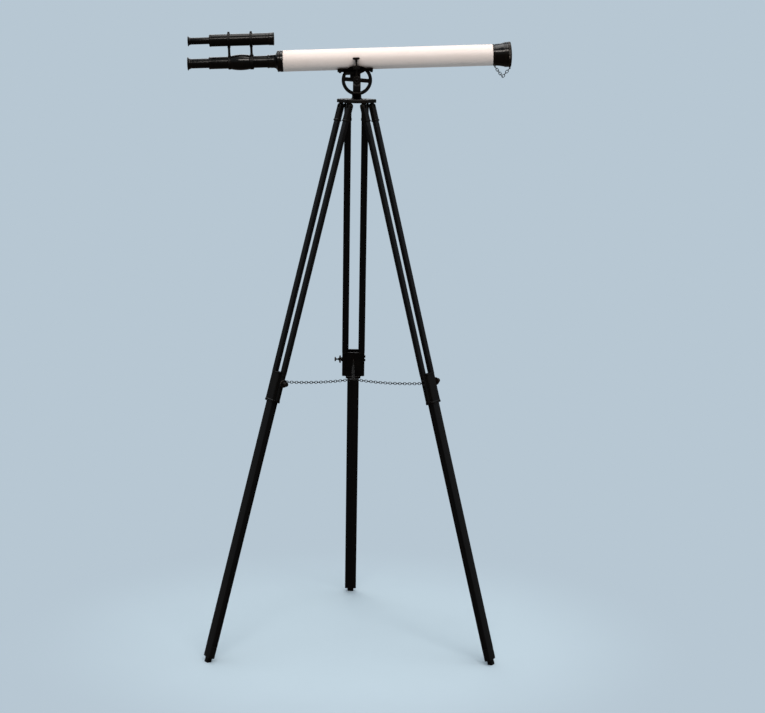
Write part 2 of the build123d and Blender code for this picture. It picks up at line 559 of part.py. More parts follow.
# turned pieces: frame, then outline points (x, r)
TURNED = {
    "tail_flange": (TUBE_AXIS, [
        (-230.0, DRAW_R + SLIDE_FIT), (-230.0, 16.6), (-228.5, 17.4), (-225.0, 17.5),
        (-223.5, 16.6), (-215.0, 16.8), ("arc", (-207.6, 18.6), (-204.5, 24.0)),
        (-203.6, 26.2), (-202.4, 27.5), (-199.6, 27.5), (-198.8, 26.9), (-197.4, 26.9),
        (-196.6, 27.7), (-190.0, 27.7), (TUBE_X0, 27.4), (TUBE_X0, TUBE_ID / 2),
        (-171.0, TUBE_ID / 2), (-171.0, DRAW_R + SLIDE_FIT)]),
    "objective_retaining_ring": (TUBE_AXIS, [
        (365.6, 20.4), (364.9, 23.0), (370.0, 23.0), (370.0, 20.4)]),
    "main_draw_tube": (TUBE_AXIS, [
        (-375.5, EYE_TUBE_R + SLIDE_FIT), (-381.0, EYE_TUBE_R + SLIDE_FIT), (-381.0, 14.9),
        (-380.2, 15.7), (-376.6, 15.7), (-375.6, 15.2), (-372.0, DRAW_R), (-180.0, DRAW_R),
        (-180.0, DRAW_BORE_R), (-372.0, DRAW_BORE_R)]),
    "draw_sleeve": (TUBE_AXIS, [
        (-324.0, DRAW_R), (-324.0, 17.6), ("arc", (-297.4, 20.5), (-275.0, 18.4)),
        (-275.0, DRAW_R)]),
    "eyecup": (TUBE_AXIS, [
        (-419.9, 10.2), (-419.9, EYE_TUBE_BORE_R), (-428.4, EYE_TUBE_BORE_R), (-428.4, 13.2),
        (-430.5, 13.9), ("arc", (-432.9, 15.3), (-434.5, 17.2)), (-435.9, 17.2),
        (-436.1, 16.4), (-433.1, 12.6), (-432.5, 5.2), (-430.5, 5.2), (-430.5, 10.2)]),
    "finder_tube": (FINDER_AXIS, [
        (-371.6, FINDER_DRAW_R + SLIDE_FIT), (-377.6, FINDER_DRAW_R + SLIDE_FIT),
        (-377.6, 14.6), (-376.6, 16.0), (-373.2, 16.0), (-372.2, FINDER_R),
        (-224.1, FINDER_R), (-224.1, FINDER_BORE_R), (-370.6, FINDER_BORE_R),
        (-370.6, FINDER_DRAW_R + SLIDE_FIT)]),
    "finder_objective_ring": (FINDER_AXIS, [
        (-232.1, 12.4), (-232.1, FINDER_BORE_R), (-224.1, FINDER_BORE_R), (-224.1, 15.7),
        (-222.9, 16.5), (-214.1, 16.6), (-212.5, 16.9), (-210.9, 16.5), (-210.5, 15.9),
        (-210.5, 14.6), (-218.1, 13.2), (-225.7, 13.2), (-225.7, 12.4)]),
    "finder_eyecup": (FINDER_AXIS, [
        (-419.8, 7.0), (-419.8, FINDER_DRAW_BORE_R), (-426.3, FINDER_DRAW_BORE_R),
        (-426.3, 9.4), (-428.4, 9.9), ("arc", (-430.4, 11.2), (-431.6, 13.1)),
        (-432.8, 13.1), (-433.0, 12.4), (-430.4, 9.0), (-429.8, 4.0), (-428.2, 4.0),
        (-428.2, 7.0)]),
}

# lenses: frame, left face on axis and at rim, right face on axis and at rim, radius
LENSES = {
    "objective_crown_lens": (TUBE_AXIS, 359.2, 362.4, 367.8, 364.6, 22.9),
    "objective_flint_lens": (TUBE_AXIS, 356.9, 356.4, 358.7, 361.9, 22.9),
    "erector_lens": (TUBE_AXIS, -214.0, -212.4, -208.0, -209.6, DRAW_BORE_R),
    "eye_lens": (TUBE_AXIS, -427.7, -426.5, -424.7, -424.7, 10.1),
    "field_lens": (TUBE_AXIS, -391.9, -390.5, -388.3, -388.3, EYE_TUBE_BORE_R),
    "finder_objective_lens": (FINDER_AXIS, -225.3, -225.6, -220.9, -222.7, 13.1),
    "finder_eye_lens": (FINDER_AXIS, -425.2, -424.2, -422.4, -422.4, 6.9),
}

# -------------------------------------------------------------------- build
rods = [make_rod(side) for side in (-1, 1)]
ferrules = [make_ferrule(side) for side in (-1, 1)]
bracket = make_bracket()
bar = make_bar()
foot = make_foot()
clamp_screw = make_clamp_screw()
above_floor = column(800, 800, 0, 120)   # trims the feet level

for leg, azimuth in LEGS.items():
    frame = leg_frame(azimuth)
    save_part("leg_rods_" + leg, *rods, frame=frame)
    save_part("leg_ferrules_" + leg, *ferrules, frame=frame)
    save_part("leg_bracket_" + leg, bracket, frame=frame)
    save_part("lower_leg_" + leg, bar, frame=frame)
    save_part("foot_tip_" + leg, (frame * foot) & above_floor)
    save_part("leg_clamp_screw_" + leg, clamp_screw, frame=frame)
    inner, outer = make_spreader_chain(azimuth)
    save_part("spreader_chain_inner_" + leg, *inner)
    save_part("spreader_chain_outer_" + leg, *outer)

save_part("spreader_ring", Pos(0, 0, RING_Z) * Torus(RING_R, RING_WIRE / 2))
crown, hinge_pins = make_crown()
save_part("tripod_crown", crown)
save_part("crown_hinge_pins", *hinge_pins)
save_part("altitude_yoke", make_yoke())
save_part("azimuth_spindle", make_spindle())
save_part("spindle_nut_and_washer", *make_washer_and_nut())

save_part("altitude_axle", make_axle(), frame=TILTED)
save_part("altitude_wheel", make_wheel(), frame=TILTED)
save_part("saddle", make_saddle(), frame=TILTED)
save_part("saddle_fasteners", *make_saddle_fasteners(), frame=TILTED)
save_part("altitude_thumb_screw", make_thumb_screw(), frame=TILTED)

save_part("main_tube", make_tube(TUBE_OD, TUBE_ID), frame=TUBE_AXIS)
save_part("leather_wrap", make_tube(LEATHER_OD, TUBE_OD), frame=TUBE_AXIS)
save_part("objective_cell", make_objective_cell(), frame=TUBE_AXIS)
save_part("dust_cap", make_dust_cap(), frame=TUBE_AXIS)
hood_half, cap_half = make_cap_chain()
save_part("cap_chain_hood_half", *hood_half, frame=TUBE_AXIS)
save_part("cap_chain_cap_half", *cap_half, frame=TUBE_AXIS)
save_part("finder_brackets", *[make_finder_bracket(*row) for row in FINDER_BRACKETS],
          frame=TUBE_AXIS)
save_part("finder_clamp_screws", *[make_finder_screw(x) for x, _, _ in FINDER_BRACKETS],
          frame=TUBE_AXIS)
save_part("eyepiece_draw_tube", pipe_x(EYE_TUBE_R, EYE_TUBE_BORE_R, -428.4, -316.0),
          frame=TUBE_AXIS)
save_part("finder_draw_tube", pipe_x(FINDER_DRAW_R, FINDER_DRAW_BORE_R, -426.3, -318.0),
          frame=FINDER_AXIS)

for name, (frame, outline) in TURNED.items():
    save_part(name, turned(outline), frame=frame)
for name, (frame, *faces) in LENSES.items():
    save_part(name, lens(*faces), frame=frame)
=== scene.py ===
"""A leather-covered telescope with a finder, on a wooden tripod with spreader chains.

Pieces are laid out in millimetres about the tripod's upright axis, +Z up, then moved to
TRIPOD_AXIS and scaled to metres. The objective points along +X, raised by TILT; the eyepiece
is towards -X. One leg stands at the back (+Y), the others at the front left and right.
"""
import math
import random
from math import sin, cos, tan, radians, pi, sqrt, atan2, hypot

import bmesh
import bpy
from mathutils import Matrix, Vector


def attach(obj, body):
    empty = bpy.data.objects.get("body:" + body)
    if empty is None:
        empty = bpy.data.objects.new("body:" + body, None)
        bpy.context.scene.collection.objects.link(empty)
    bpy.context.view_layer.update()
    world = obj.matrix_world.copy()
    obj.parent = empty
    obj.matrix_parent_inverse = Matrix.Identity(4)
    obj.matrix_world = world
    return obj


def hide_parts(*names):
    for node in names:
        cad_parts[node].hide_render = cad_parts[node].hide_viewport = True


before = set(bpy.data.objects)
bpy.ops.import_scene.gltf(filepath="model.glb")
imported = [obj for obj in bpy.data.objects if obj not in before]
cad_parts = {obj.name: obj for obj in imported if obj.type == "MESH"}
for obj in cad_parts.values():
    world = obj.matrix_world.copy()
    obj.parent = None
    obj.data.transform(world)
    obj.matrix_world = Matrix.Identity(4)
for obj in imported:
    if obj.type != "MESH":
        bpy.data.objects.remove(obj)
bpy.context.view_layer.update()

random.seed(7)
scene = bpy.context.scene
coll = scene.collection

# ------------------------------------------------------------------ driving sizes, millimetres
MM = 0.001                                     # one millimetre in metres
TRIPOD_AXIS = Vector((19.08, -102.52, 0.0))
LEGS = {"back": 90.0, "left": 210.0, "right": 330.0}   # azimuth in degrees, from +X

HINGE_Z, HINGE_R = 1440.0, 33.6                # height and radius of the leg hinges
SPLAY = radians(15.33)
ALTITUDE_Z, TILT = 1505.6, radians(2.5)        # the altitude axle and the tube's slope
TUBE_H = 54.0                                  # main tube's axis above the axle
FINDER_H = 57.5                                # finder's axis above the main tube's

ROD_SPACING, ROD_W, ROD_T, ROD_END = 45.0, 18.0, 10.4, 715
BAR_W, BAR_T, BAR_TOP, BAR_END = 32.3, 16.5, 719, 1481
CLAMP_AT = 737.0                               # the clamp screw's distance down the leg

TUBE_BACK, TUBE_FRONT = -189.0, 353.5          # ends of the main tube, along its axis
RING_R, RING_WIRE_R, RING_Z = 8.0, 1.1, 715.5  # ring that joins the spreader chains

# ------------------------------------------------------------------ frames of the pieces
IDENTITY = Matrix.Identity(4)
TO_AXIS = Matrix.Translation(TRIPOD_AXIS * MM)
ALTITUDE = Matrix.Translation((0, 0, ALTITUDE_Z)) @ Matrix.Rotation(-TILT, 4, "Y")
TUBE = ALTITUDE @ Matrix.Translation((0, 0, TUBE_H))
FINDER = ALTITUDE @ Matrix.Translation((0, 0, TUBE_H + FINDER_H))
X_TO_UP = Matrix.Rotation(-pi / 2, 4, "Y")
X_TO_DOWN = Matrix.Rotation(pi / 2, 4, "Y")
X_TO_Y = Matrix.Rotation(pi / 2, 4, "Z")


def leg_axes(azimuth):
    """Level unit vectors: outward along the azimuth, and tangential to it."""
    a = radians(azimuth)
    return Vector((cos(a), sin(a), 0)), Vector((-sin(a), cos(a), 0))


def leg_matrix(azimuth):
    """Frame at a hinge: x tangential, y outward normal, z down the leg."""
    outward, tangent = leg_axes(azimuth)
    down = outward * sin(SPLAY) - Vector((0, 0, cos(SPLAY)))
    matrix = Matrix((tangent, down.cross(tangent), down)).transposed().to_4x4()
    matrix.translation = outward * HINGE_R + Vector((0, 0, HINGE_Z))
    return matrix


# ------------------------------------------------------------------ shader helpers
class Shader:
    """Short calls for building the node tree of a material or of the world."""

    def __init__(self, owner):
        owner.use_nodes = True
        self.tree = owner.node_tree

    def find(self, kind):
        return next(node for node in self.tree.nodes if node.type == kind)

    def feed(self, node, inputs):
        """Links or sets a node's inputs; colours are given as red, green, blue."""
        for key, value in inputs.items():
            socket = node.inputs[key]
            if isinstance(value, bpy.types.NodeSocket):
                self.tree.links.new(value, socket)
            elif socket.type == "RGBA":
                socket.default_value = (*value, 1)
            else:
                socket.default_value = value

    def node(self, kind, inputs=None, **settings):
        node = self.tree.nodes.new(kind)
        for key, value in settings.items():
            setattr(node, key, value)
        self.feed(node, inputs or {})
        return node

    def surface(self, inputs):
        self.feed(self.find("BSDF_PRINCIPLED"), inputs)

    def mapped(self, vector, scale=(1, 1, 1)):
        return self.node("ShaderNodeMapping", {"Vector": vector, "Scale": scale}).outputs["Vector"]

    def object_coords(self):
        return self.mapped(self.node("ShaderNodeTexCoord").outputs["Object"])

    def attribute(self, name, output):
        return self.node("ShaderNodeAttribute", attribute_name=name).outputs[output]

    def noise(self, place, scale, detail, rough, distort=0.0, dims="3D"):
        inputs = {"W" if dims == "1D" else "Vector": place, "Scale": scale, "Detail": detail,
                  "Roughness": rough, "Distortion": distort}
        return self.node("ShaderNodeTexNoise", inputs, noise_dimensions=dims).outputs["Fac"]

    def ramp(self, fac, stops):
        """Colour ramp through (position, colour) stops."""
        node = self.node("ShaderNodeValToRGB", {"Fac": fac})
        elements = node.color_ramp.elements
        for i, (position, color) in enumerate(stops):
            if i == 0:
                element = elements[0]
            elif i == len(stops) - 1:
                element = elements[len(elements) - 1]
            else:
                element = elements.new(position)
            element.position = position
            element.color = (*color, 1)
        return node.outputs["Color"]

    def fade(self, fac, start, end, top=1.0):
        """Rises from 0 at start to top at end."""
        return self.ramp(fac, [(start, (0, 0, 0)), (end, (top, top, top))])

    def mix(self, fac, a, b):
        node = self.node("ShaderNodeMix", {0: fac, 6: a, 7: b}, data_type="RGBA")
        return node.outputs[2]

    def math(self, operation, a, b, clamp=False):
        return self.node("ShaderNodeMath", {0: a, 1: b}, operation=operation,
                         use_clamp=clamp).outputs[0]

    def weighted_sum(self, a, b, weights):
        return self.math("ADD", self.math("MULTIPLY", a, weights[0]),
                         self.math("MULTIPLY", b, weights[1]))

    def remap(self, value, source, to=(0.0, 1.0), interpolation="LINEAR"):
        inputs = {"Value": value, "From Min": source[0], "From Max": source[1],
                  "To Min": to[0], "To Max": to[1]}
        return self.node("ShaderNodeMapRange", inputs,
                         interpolation_type=interpolation).outputs["Result"]

    def bump(self, height, strength, distance, normal=None):
        inputs = {"Strength": strength, "Distance": distance, "Height": height}
        if normal is not None:
            inputs["Normal"] = normal
        return self.node("ShaderNodeBump", inputs).outputs["Normal"]

    def edge(self, radius):
        """0 on flats, towards 1 on an edge."""
        bevel = self.node("ShaderNodeBevel", {"Radius": radius}, samples=4)
        geometry = self.node("ShaderNodeNewGeometry")
        dot = self.node("ShaderNodeVectorMath",
                        {0: bevel.outputs["Normal"], 1: geometry.outputs["Normal"]},
                        operation="DOT_PRODUCT")
        turned = self.math("SUBTRACT", 1.0, dot.outputs["Value"])
        return self.remap(turned, source=(0.01, 0.16))

    def rubbed_edge(self, coords, radius, wear, noise, source, to):
        """Wear on the edges, broken up by noise remapped from source to to."""
        edge = self.edge(radius)
        patches = self.remap(self.noise(coords, **noise), source, to)
        return self.math("MULTIPLY", self.math("MULTIPLY", edge, patches, clamp=True), wear)


# ------------------------------------------------------------------ materials
def bronze(name, rough, wear, warm=(0.0034, 0.0021, 0.0014), turned=False, edge_radius=0.0011,
           specular=0.15):
    """Oil-rubbed bronze: near-black skin, brown and olive clouds, edges rubbed to copper brown.

    rough is the roughness range, wear the strength of the rubbed edges; turned adds fine lathe
    lines along the piece's "axial" attribute.
    """
    dark, olive, copper = (0.0008, 0.0007, 0.0007), (0.0020, 0.0019, 0.0013), (0.100, 0.054, 0.027)
    material = bpy.data.materials.new(name)
    s = Shader(material)
    coords = s.object_coords()
    clouds = s.noise(coords, scale=34, detail=6, rough=0.62, distort=0.4)
    patches = s.noise(coords, scale=95, detail=5, rough=0.6)
    fine = s.noise(coords, scale=1500, detail=3, rough=0.6)
    color = s.mix(s.fade(clouds, start=0.38, end=0.68), dark, warm)
    color = s.mix(s.fade(patches, start=0.50, end=0.74, top=0.75), color, olive)
    rub = s.rubbed_edge(coords, edge_radius, wear, noise=dict(scale=160, detail=4, rough=0.6),
                        source=(0.32, 0.62), to=(0.15, 1.0))
    color = s.mix(rub, color, copper)
    # metallic 0.12 on the skin, more where it is rubbed
    metallic = s.math("ADD", 0.12, s.math("MULTIPLY", rub, 0.85), clamp=True)
    roughness = s.remap(s.weighted_sum(clouds, fine, weights=(0.6, 0.4)),
                        source=(0.3, 0.7), to=rough)
    # rubbed places are up to 0.10 smoother
    roughness = s.math("SUBTRACT", roughness, s.math("MULTIPLY", rub, 0.10))
    normal = s.bump(s.weighted_sum(patches, fine, weights=(0.6, 0.25)),
                    strength=0.045 if turned else 0.16, distance=0.00035)
    if turned:
        lines = s.noise(s.attribute("axial", "Fac"), scale=2.6, detail=3, rough=0.7, dims="1D")
        normal = s.bump(lines, strength=0.06, distance=0.00020, normal=normal)
    s.surface({"Base Color": color, "Metallic": metallic, "Roughness": roughness,
               "Specular IOR Level": specular, "Specular Tint": (1.0, 0.93, 0.86),
               "Normal": normal})
    return material


def stained_wood():
    """Black-stained hardwood under satin lacquer, grain along the piece."""
    dark, brown, pore = (0.0013, 0.0011, 0.0011), (0.0036, 0.0024, 0.0018), (0.0010, 0.0010, 0.0010)
    rubbed = (0.052, 0.030, 0.018)
    material = bpy.data.materials.new("black_stained_wood")
    s = Shader(material)
    grain_coords = s.mapped(s.attribute("grain", "Vector"))
    # each layer is stretched along the grain (z), frequencies per millimetre
    broad = s.noise(s.mapped(grain_coords, scale=(0.16, 0.16, 0.0042)),
                    scale=1.0, detail=3, rough=0.5, distort=0.8)
    fibre = s.noise(s.mapped(grain_coords, scale=(1.7, 1.7, 0.028)),
                    scale=1.0, detail=6, rough=0.68, distort=0.25)
    pores = s.noise(s.mapped(grain_coords, scale=(4.6, 4.6, 0.12)),
                    scale=1.0, detail=2, rough=0.5)
    grain = s.weighted_sum(broad, fibre, weights=(0.45, 0.55))
    color = s.mix(s.fade(grain, start=0.42, end=0.66), dark, brown)
    color = s.mix(s.fade(pores, start=0.58, end=0.70, top=0.7), color, pore)
    rub = s.rubbed_edge(s.object_coords(), radius=0.0016, wear=0.30,
                        noise=dict(scale=26, detail=5, rough=0.65),
                        source=(0.42, 0.66), to=(0.0, 1.0))
    s.surface({
        "Base Color": s.mix(rub, color, rubbed),
        "Roughness": s.remap(fibre, source=(0.3, 0.7), to=(0.30, 0.46)),
        "Specular IOR Level": 0.175,
        "Normal": s.bump(s.weighted_sum(fibre, pores, weights=(0.7, -0.6)),
                         strength=0.28, distance=0.00035)})
    return material


def white_leather():
    """White-painted hide: close pebble grain, with painted shade darkening the creases between the
    pebbles.
    """
    # the second colour is painted shade, mixed into the creases between the pebbles
    base, between = (0.700, 0.570, 0.494), (0.485, 0.385, 0.322)
    aged = (base[0] * 0.972, base[1] * 0.962, base[2] * 0.945)
    jitter_size = 0.0009
    crease_shade_strength = 0.22
    material = bpy.data.materials.new("white_leather")
    s = Shader(material)
    coords = s.object_coords()
    jitter = s.noise(coords, scale=420, detail=2, rough=0.5)
    jitter_vector = s.node("ShaderNodeCombineXYZ", {0: jitter, 1: jitter, 2: jitter}).outputs[0]
    jittered = s.node("ShaderNodeVectorMath",
                      {0: jitter_vector, 1: (jitter_size,) * 3, 2: coords},
                      operation="MULTIPLY_ADD").outputs[0]
    pebbles = s.node("ShaderNodeTexVoronoi", {"Vector": jittered, "Scale": 820},
                     feature="DISTANCE_TO_EDGE").outputs["Distance"]
    cells = s.remap(pebbles, source=(0.0, 0.22))
    broad = s.noise(coords, scale=11, detail=4, rough=0.6)
    mid = s.noise(coords, scale=150, detail=5, rough=0.6)
    color = s.mix(s.fade(broad, start=0.35, end=0.7), base, aged)
    # painted shade: the creases between the pebbles are darkened in the colour
    crease_shade = s.math("MULTIPLY", s.math("SUBTRACT", 1.0, cells), crease_shade_strength)
    s.surface({
        "Base Color": s.mix(crease_shade, color, between),
        "Roughness": s.remap(mid, source=(0.3, 0.7), to=(0.42, 0.56)),
        "Specular IOR Level": 0.42,
        "Sheen Weight": 0.08,
        "Normal": s.bump(s.weighted_sum(cells, mid, weights=(0.5, 0.6)),
                         strength=0.30, distance=0.00028)})
    return material


def waxed_thread():
    material = bpy.data.materials.new("waxed_thread")
    s = Shader(material)
    fine = s.noise(s.object_coords(), scale=2600, detail=3, rough=0.6)
    s.surface({
        "Base Color": s.mix(s.fade(fine, start=0.35, end=0.7),
                            (0.62, 0.57, 0.49), (0.80, 0.76, 0.68)),
        "Roughness": 0.7,
        "Normal": s.bump(fine, strength=0.4, distance=0.0002)})
    return material


def optical_glass():
    """Clear glass with faint smears and a bluish coating."""
    material = bpy.data.materials.new("optical_glass")
    s = Shader(material)
    smear = s.noise(s.object_coords(), scale=60, detail=4, rough=0.6)
    s.surface({
        "Base Color": (0.93, 0.97, 0.98),
        "Transmission Weight": 1.0,
        "IOR": 1.52,
        "Roughness": s.remap(smear, source=(0.4, 0.8), to=(0.0, 0.05)),
        "Coat Weight": 0.35,
        "Coat Tint": (0.75, 0.78, 1.0)})
    return material


def matt_black():
    """Inner metal: dull flat black paint, scuffed."""
    material = bpy.data.materials.new("matt_black_inside")
    s = Shader(material)
    scuffs = s.noise(s.object_coords(), scale=140, detail=5, rough=0.65)
    s.surface({
        "Base Color": s.mix(s.fade(scuffs, start=0.35, end=0.75),
                            (0.006, 0.006, 0.006), (0.020, 0.018, 0.016)),
        "Roughness": s.remap(scuffs, source=(0.3, 0.7), to=(0.62, 0.8)),
        "Normal": s.bump(scuffs, strength=0.2, distance=0.0003)})
    return material


CAST_BRONZE = bronze("bronze_cast", rough=(0.34, 0.54), wear=0.42)
TURNED_BRONZE = bronze("bronze_turned", rough=(0.09, 0.19), wear=0.42, turned=True, specular=0.25)
TUBE_BRONZE = bronze("bronze_tube", rough=(0.12, 0.23), wear=0.27, turned=True, specular=0.17)
CHAIN_BRONZE = bronze("bronze_chain", warm=(0.008, 0.006, 0.004), rough=(0.26, 0.42), wear=0.20,
                      edge_radius=0.0004)
SCREW_BRONZE = bronze("bronze_screws", warm=(0.015, 0.010, 0.007), rough=(0.24, 0.40), wear=0.55,
                      edge_radius=0.0006)
WOOD = stained_wood()
LEATHER = white_leather()
THREAD = waxed_thread()
GLASS = optical_glass()
INSIDE = matt_black()


# ------------------------------------------------------------------ mesh helpers
def circle_angles(count):
    return [2 * pi * j / count for j in range(count)]


def join_rings(bm, rings, closed=False):
    """Skins neighbouring rings of vertices; a ring of one vertex is a pole."""
    pairs = list(zip(rings, rings[1:]))
    if closed:
        pairs.append((rings[-1], rings[0]))
    for a, b in pairs:
        if len(a) == 1 and len(b) == 1:
            continue
        count = max(len(a), len(b))
        for j in range(count):
            k = (j + 1) % count
            if len(a) == 1:
                bm.faces.new((a[0], b[j], b[k]))
            elif len(b) == 1:
                bm.faces.new((a[j], b[0], a[k]))
            else:
                bm.faces.new((a[j], b[j], b[k], a[k]))


def smooth_object(name, bm):
    """Turns the bmesh into a smooth-shaded object in the scene."""
    bmesh.ops.recalc_face_normals(bm, faces=bm.faces)
    if not name.startswith(("floor", "wall")):
        bm.transform(TO_AXIS)
    mesh = bpy.data.meshes.new(name)
    bm.to_mesh(mesh)
    bm.free()
    mesh.shade_smooth()
    ob = bpy.data.objects.new(name, mesh)
    coll.objects.link(ob)
    return ob


def finish_mesh(name, bm, material, body, node=None, angle=32.0):
    """Makes the object, sharp above angle degrees, riding a body and standing in for a node."""
    ob = smooth_object(name, bm)
    ob.data.set_sharp_from_angle(angle=radians(angle))
    ob.data.materials.append(material)
    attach(ob, body)
    if node:
        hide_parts(node)


def unwrapped(angle, reference):
    """The same angle, within half a turn of the reference."""
    while angle < reference - pi:
        angle += 2 * pi
    while angle > reference + pi:
        angle -= 2 * pi
    return angle


def arc(start, middle, end, steps):
    """Points on the circle through three (x, r) points, from start to end, both kept."""
    (ax, ay), (bx, by), (cx, cy) = start, middle, end
    d = 2 * (ax * (by - cy) + bx * (cy - ay) + cx * (ay - by))
    a2, b2, c2 = ax * ax + ay * ay, bx * bx + by * by, cx * cx + cy * cy
    x = (a2 * (by - cy) + b2 * (cy - ay) + c2 * (ay - by)) / d
    y = (a2 * (cx - bx) + b2 * (ax - cx) + c2 * (bx - ax)) / d
    radius = hypot(ax - x, ay - y)
    first, mid, last = (atan2(q[1] - y, q[0] - x) for q in (start, middle, end))
    last = unwrapped(last, unwrapped(mid, first))
    angles = [first + (last - first) * i / steps for i in range(steps + 1)]
    return [(x + radius * cos(a), y + radius * sin(a)) for a in angles]


def corner_curve(start, corner, end, steps):
    """Quadratic curve that cuts a corner."""
    weights = [k / steps for k in range(steps + 1)]
    return [start * (1 - w) ** 2 + corner * 2 * w * (1 - w) + end * w * w for w in weights]


def soften(points, radius, closed):
    """Rounds the corners of an (x, r) line, leaving turns under 14 degrees as they are."""
    out = []
    count = len(points)
    for i, point in enumerate(points):
        if not closed and i in (0, count - 1):
            out.append(point)
            continue
        corner = Vector(point)
        back = Vector(points[i - 1]) - corner
        ahead = Vector(points[(i + 1) % count]) - corner
        back_length, ahead_length = back.length, ahead.length
        back /= back_length
        ahead /= ahead_length
        turn = pi - math.acos(max(-1, min(1, back.dot(ahead))))
        if turn < radians(14):
            out.append(point)
            continue
        cut = min(radius * tan(turn / 2), 0.42 * back_length, 0.42 * ahead_length)
        curve = corner_curve(corner + back * cut, corner, corner + ahead * cut, steps=3)
        out += [(q.x, max(q.y, 0.0)) for q in curve]
    return out


def mirrored(half):
    """A profile that is the same on both sides of x = 0, from its half at negative x."""
    return half + [(-x, r) for x, r in reversed(half)]


def shifted(profile, along):
    return [(x + along, r) for x, r in profile]


def knurled(x, r, angle, knurls):
    """Radius at an angle; each knurl is (x from, x to, teeth, depth, only above this radius)."""
    result = r
    for x_from, x_to, teeth, depth, above in knurls:
        if x_from <= x <= x_to and r > above:
            result = r - depth * (0.5 - 0.5 * cos(teeth * angle)) ** 0.7
    return result


def new_turned():
    """A bmesh whose vertices carry their place along the lathe axis."""
    bm = bmesh.new()
    return bm, bm.verts.layers.float.new("axial")


def add_lathe(bm, axial, profile, matrix, segments, rounding, knurls=()):
    """Turns an (x, r) profile about x; it closes on itself unless both ends are on the axis."""
    closed = profile[0][1] >= 1e-4 or profile[-1][1] >= 1e-4
    rings = []
    for x, r in soften(profile, rounding, closed):
        places = [(0, 0)]
        if r >= 1e-4:
            radii = [(a, knurled(x, r, a, knurls)) for a in circle_angles(segments)]
            places = [(radius * cos(a), radius * sin(a)) for a, radius in radii]
        ring = []
        for y, z in places:
            vert = bm.verts.new(matrix @ Vector((x, y, z)) * MM)
            vert[axial] = x
            ring.append(vert)
        rings.append(ring)
    join_rings(bm, rings, closed)


def lathe(name, profile, matrix, material, body, node, segments=96,
          rounding=0.35, knurls=()):
    bm, axial = new_turned()
    add_lathe(bm, axial, profile, matrix, segments, rounding, knurls)
    finish_mesh(name, bm, material, body, node)


def wire_ring(bm, centre, across, up, radius, sides, matrix=IDENTITY):
    """One cross-section of a round wire."""
    return [bm.verts.new(matrix @ (centre + (across * cos(a) + up * sin(a)) * radius) * MM)
            for a in circle_angles(sides)]


def cast(source, matrix, copies, voxel, smooth, ratio):
    """A cast metal piece: the CAD node's own shape with its edges rounded as a casting's are.

    It is worked in the frame given by matrix, then set back in place once for each copy, a
    tuple of (name, body, replaced node, turn about the tripod's axis in degrees).
    """
    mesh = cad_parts[source].data.copy()
    mesh.transform(Matrix.Scale(1000.0, 4))
    mesh.transform(Matrix.Translation(-TRIPOD_AXIS))
    mesh.transform(matrix.inverted())
    bm = bmesh.new()
    bm.from_mesh(mesh)
    bmesh.ops.remove_doubles(bm, verts=bm.verts, dist=0.001)
    bm.to_mesh(mesh)
    bm.free()
    work = bpy.data.objects.new("casting", mesh)
    coll.objects.link(work)
    remesh = work.modifiers.new("remesh", "REMESH")
    remesh.mode = "VOXEL"
    remesh.voxel_size = voxel
    remesh.adaptivity = 0.0
    smoothing = work.modifiers.new("smooth", "SMOOTH")
    smoothing.factor = 0.5
    smoothing.iterations = smooth
    work.modifiers.new("decimate", "DECIMATE").ratio = ratio
    depsgraph = bpy.context.evaluated_depsgraph_get()
    depsgraph.update()
    shape = bpy.data.meshes.new_from_object(work.evaluated_get(depsgraph))
    bpy.data.objects.remove(work)
    bpy.data.meshes.remove(mesh)
    for name, body, node, turn in copies:
        placed = shape.copy() if len(copies) > 1 else shape
        placed.transform(matrix)
        placed.transform(Matrix.Scale(MM, 4))
        placed.transform(Matrix.Rotation(radians(turn), 4, "Z"))
        placed.transform(TO_AXIS)
        placed.materials.clear()
        placed.materials.append(CAST_BRONZE)
        placed.shade_smooth()
        ob = bpy.data.objects.new(name, placed)
        coll.objects.link(ob)
        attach(ob, body)
        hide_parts(node)


def cast_one(name, node, matrix, body, voxel, smooth, ratio=0.5):
    cast(node, matrix, [(name, body, node, 0.0)], voxel, smooth, ratio)


# ------------------------------------------------------------------ wooden legs
def rectangle(half_width, half_thickness, centre=0.0):
    w, t = half_width, half_thickness
    return [(-w + centre, -t), (w + centre, -t), (w + centre, t), (-w + centre, t)]


def round_section(points, radii, steps=4):
    """Rounds the corners of a closed (x, y) section, one radius to a corner."""
    out = []
    for i, (point, radius) in enumerate(zip(points, radii)):
        corner = Vector(point)
        back = Vector(points[i - 1]) - corner
        ahead = Vector(points[(i + 1) % len(points)]) - corner
        cut = min(radius, 0.45 * back.length, 0.45 * ahead.length)
        back.normalize()
        ahead.normalize()
        curve = corner_curve(corner + back * cut, corner, corner + ahead * cut, steps)
        out += [(q.x, q.y) for q in curve]
    return out


def new_wooden():
    """A bmesh whose vertices carry a place in the grain."""
    bm = bmesh.new()
    return bm, bm.verts.layers.float_vector.new("grain")


def add_bar(bm, grain, section, stations, matrix, grain_offset=(0, 0, 0)):
    """Extrudes a closed (x, y) section through stations (z, scale of x, scale of y)."""
    rings = []
    for z, scale_x, scale_y in stations:
        ring = []
        for x, y in section:
            place = Vector((x * scale_x, y * scale_y, z))
            vert = bm.verts.new(matrix @ place * MM)
            vert[grain] = place + Vector(grain_offset)
            ring.append(vert)
        rings.append(ring)
    join_rings(bm, rings)
    bm.faces.new(rings[0])
    bm.faces.new(list(reversed(rings[-1])))


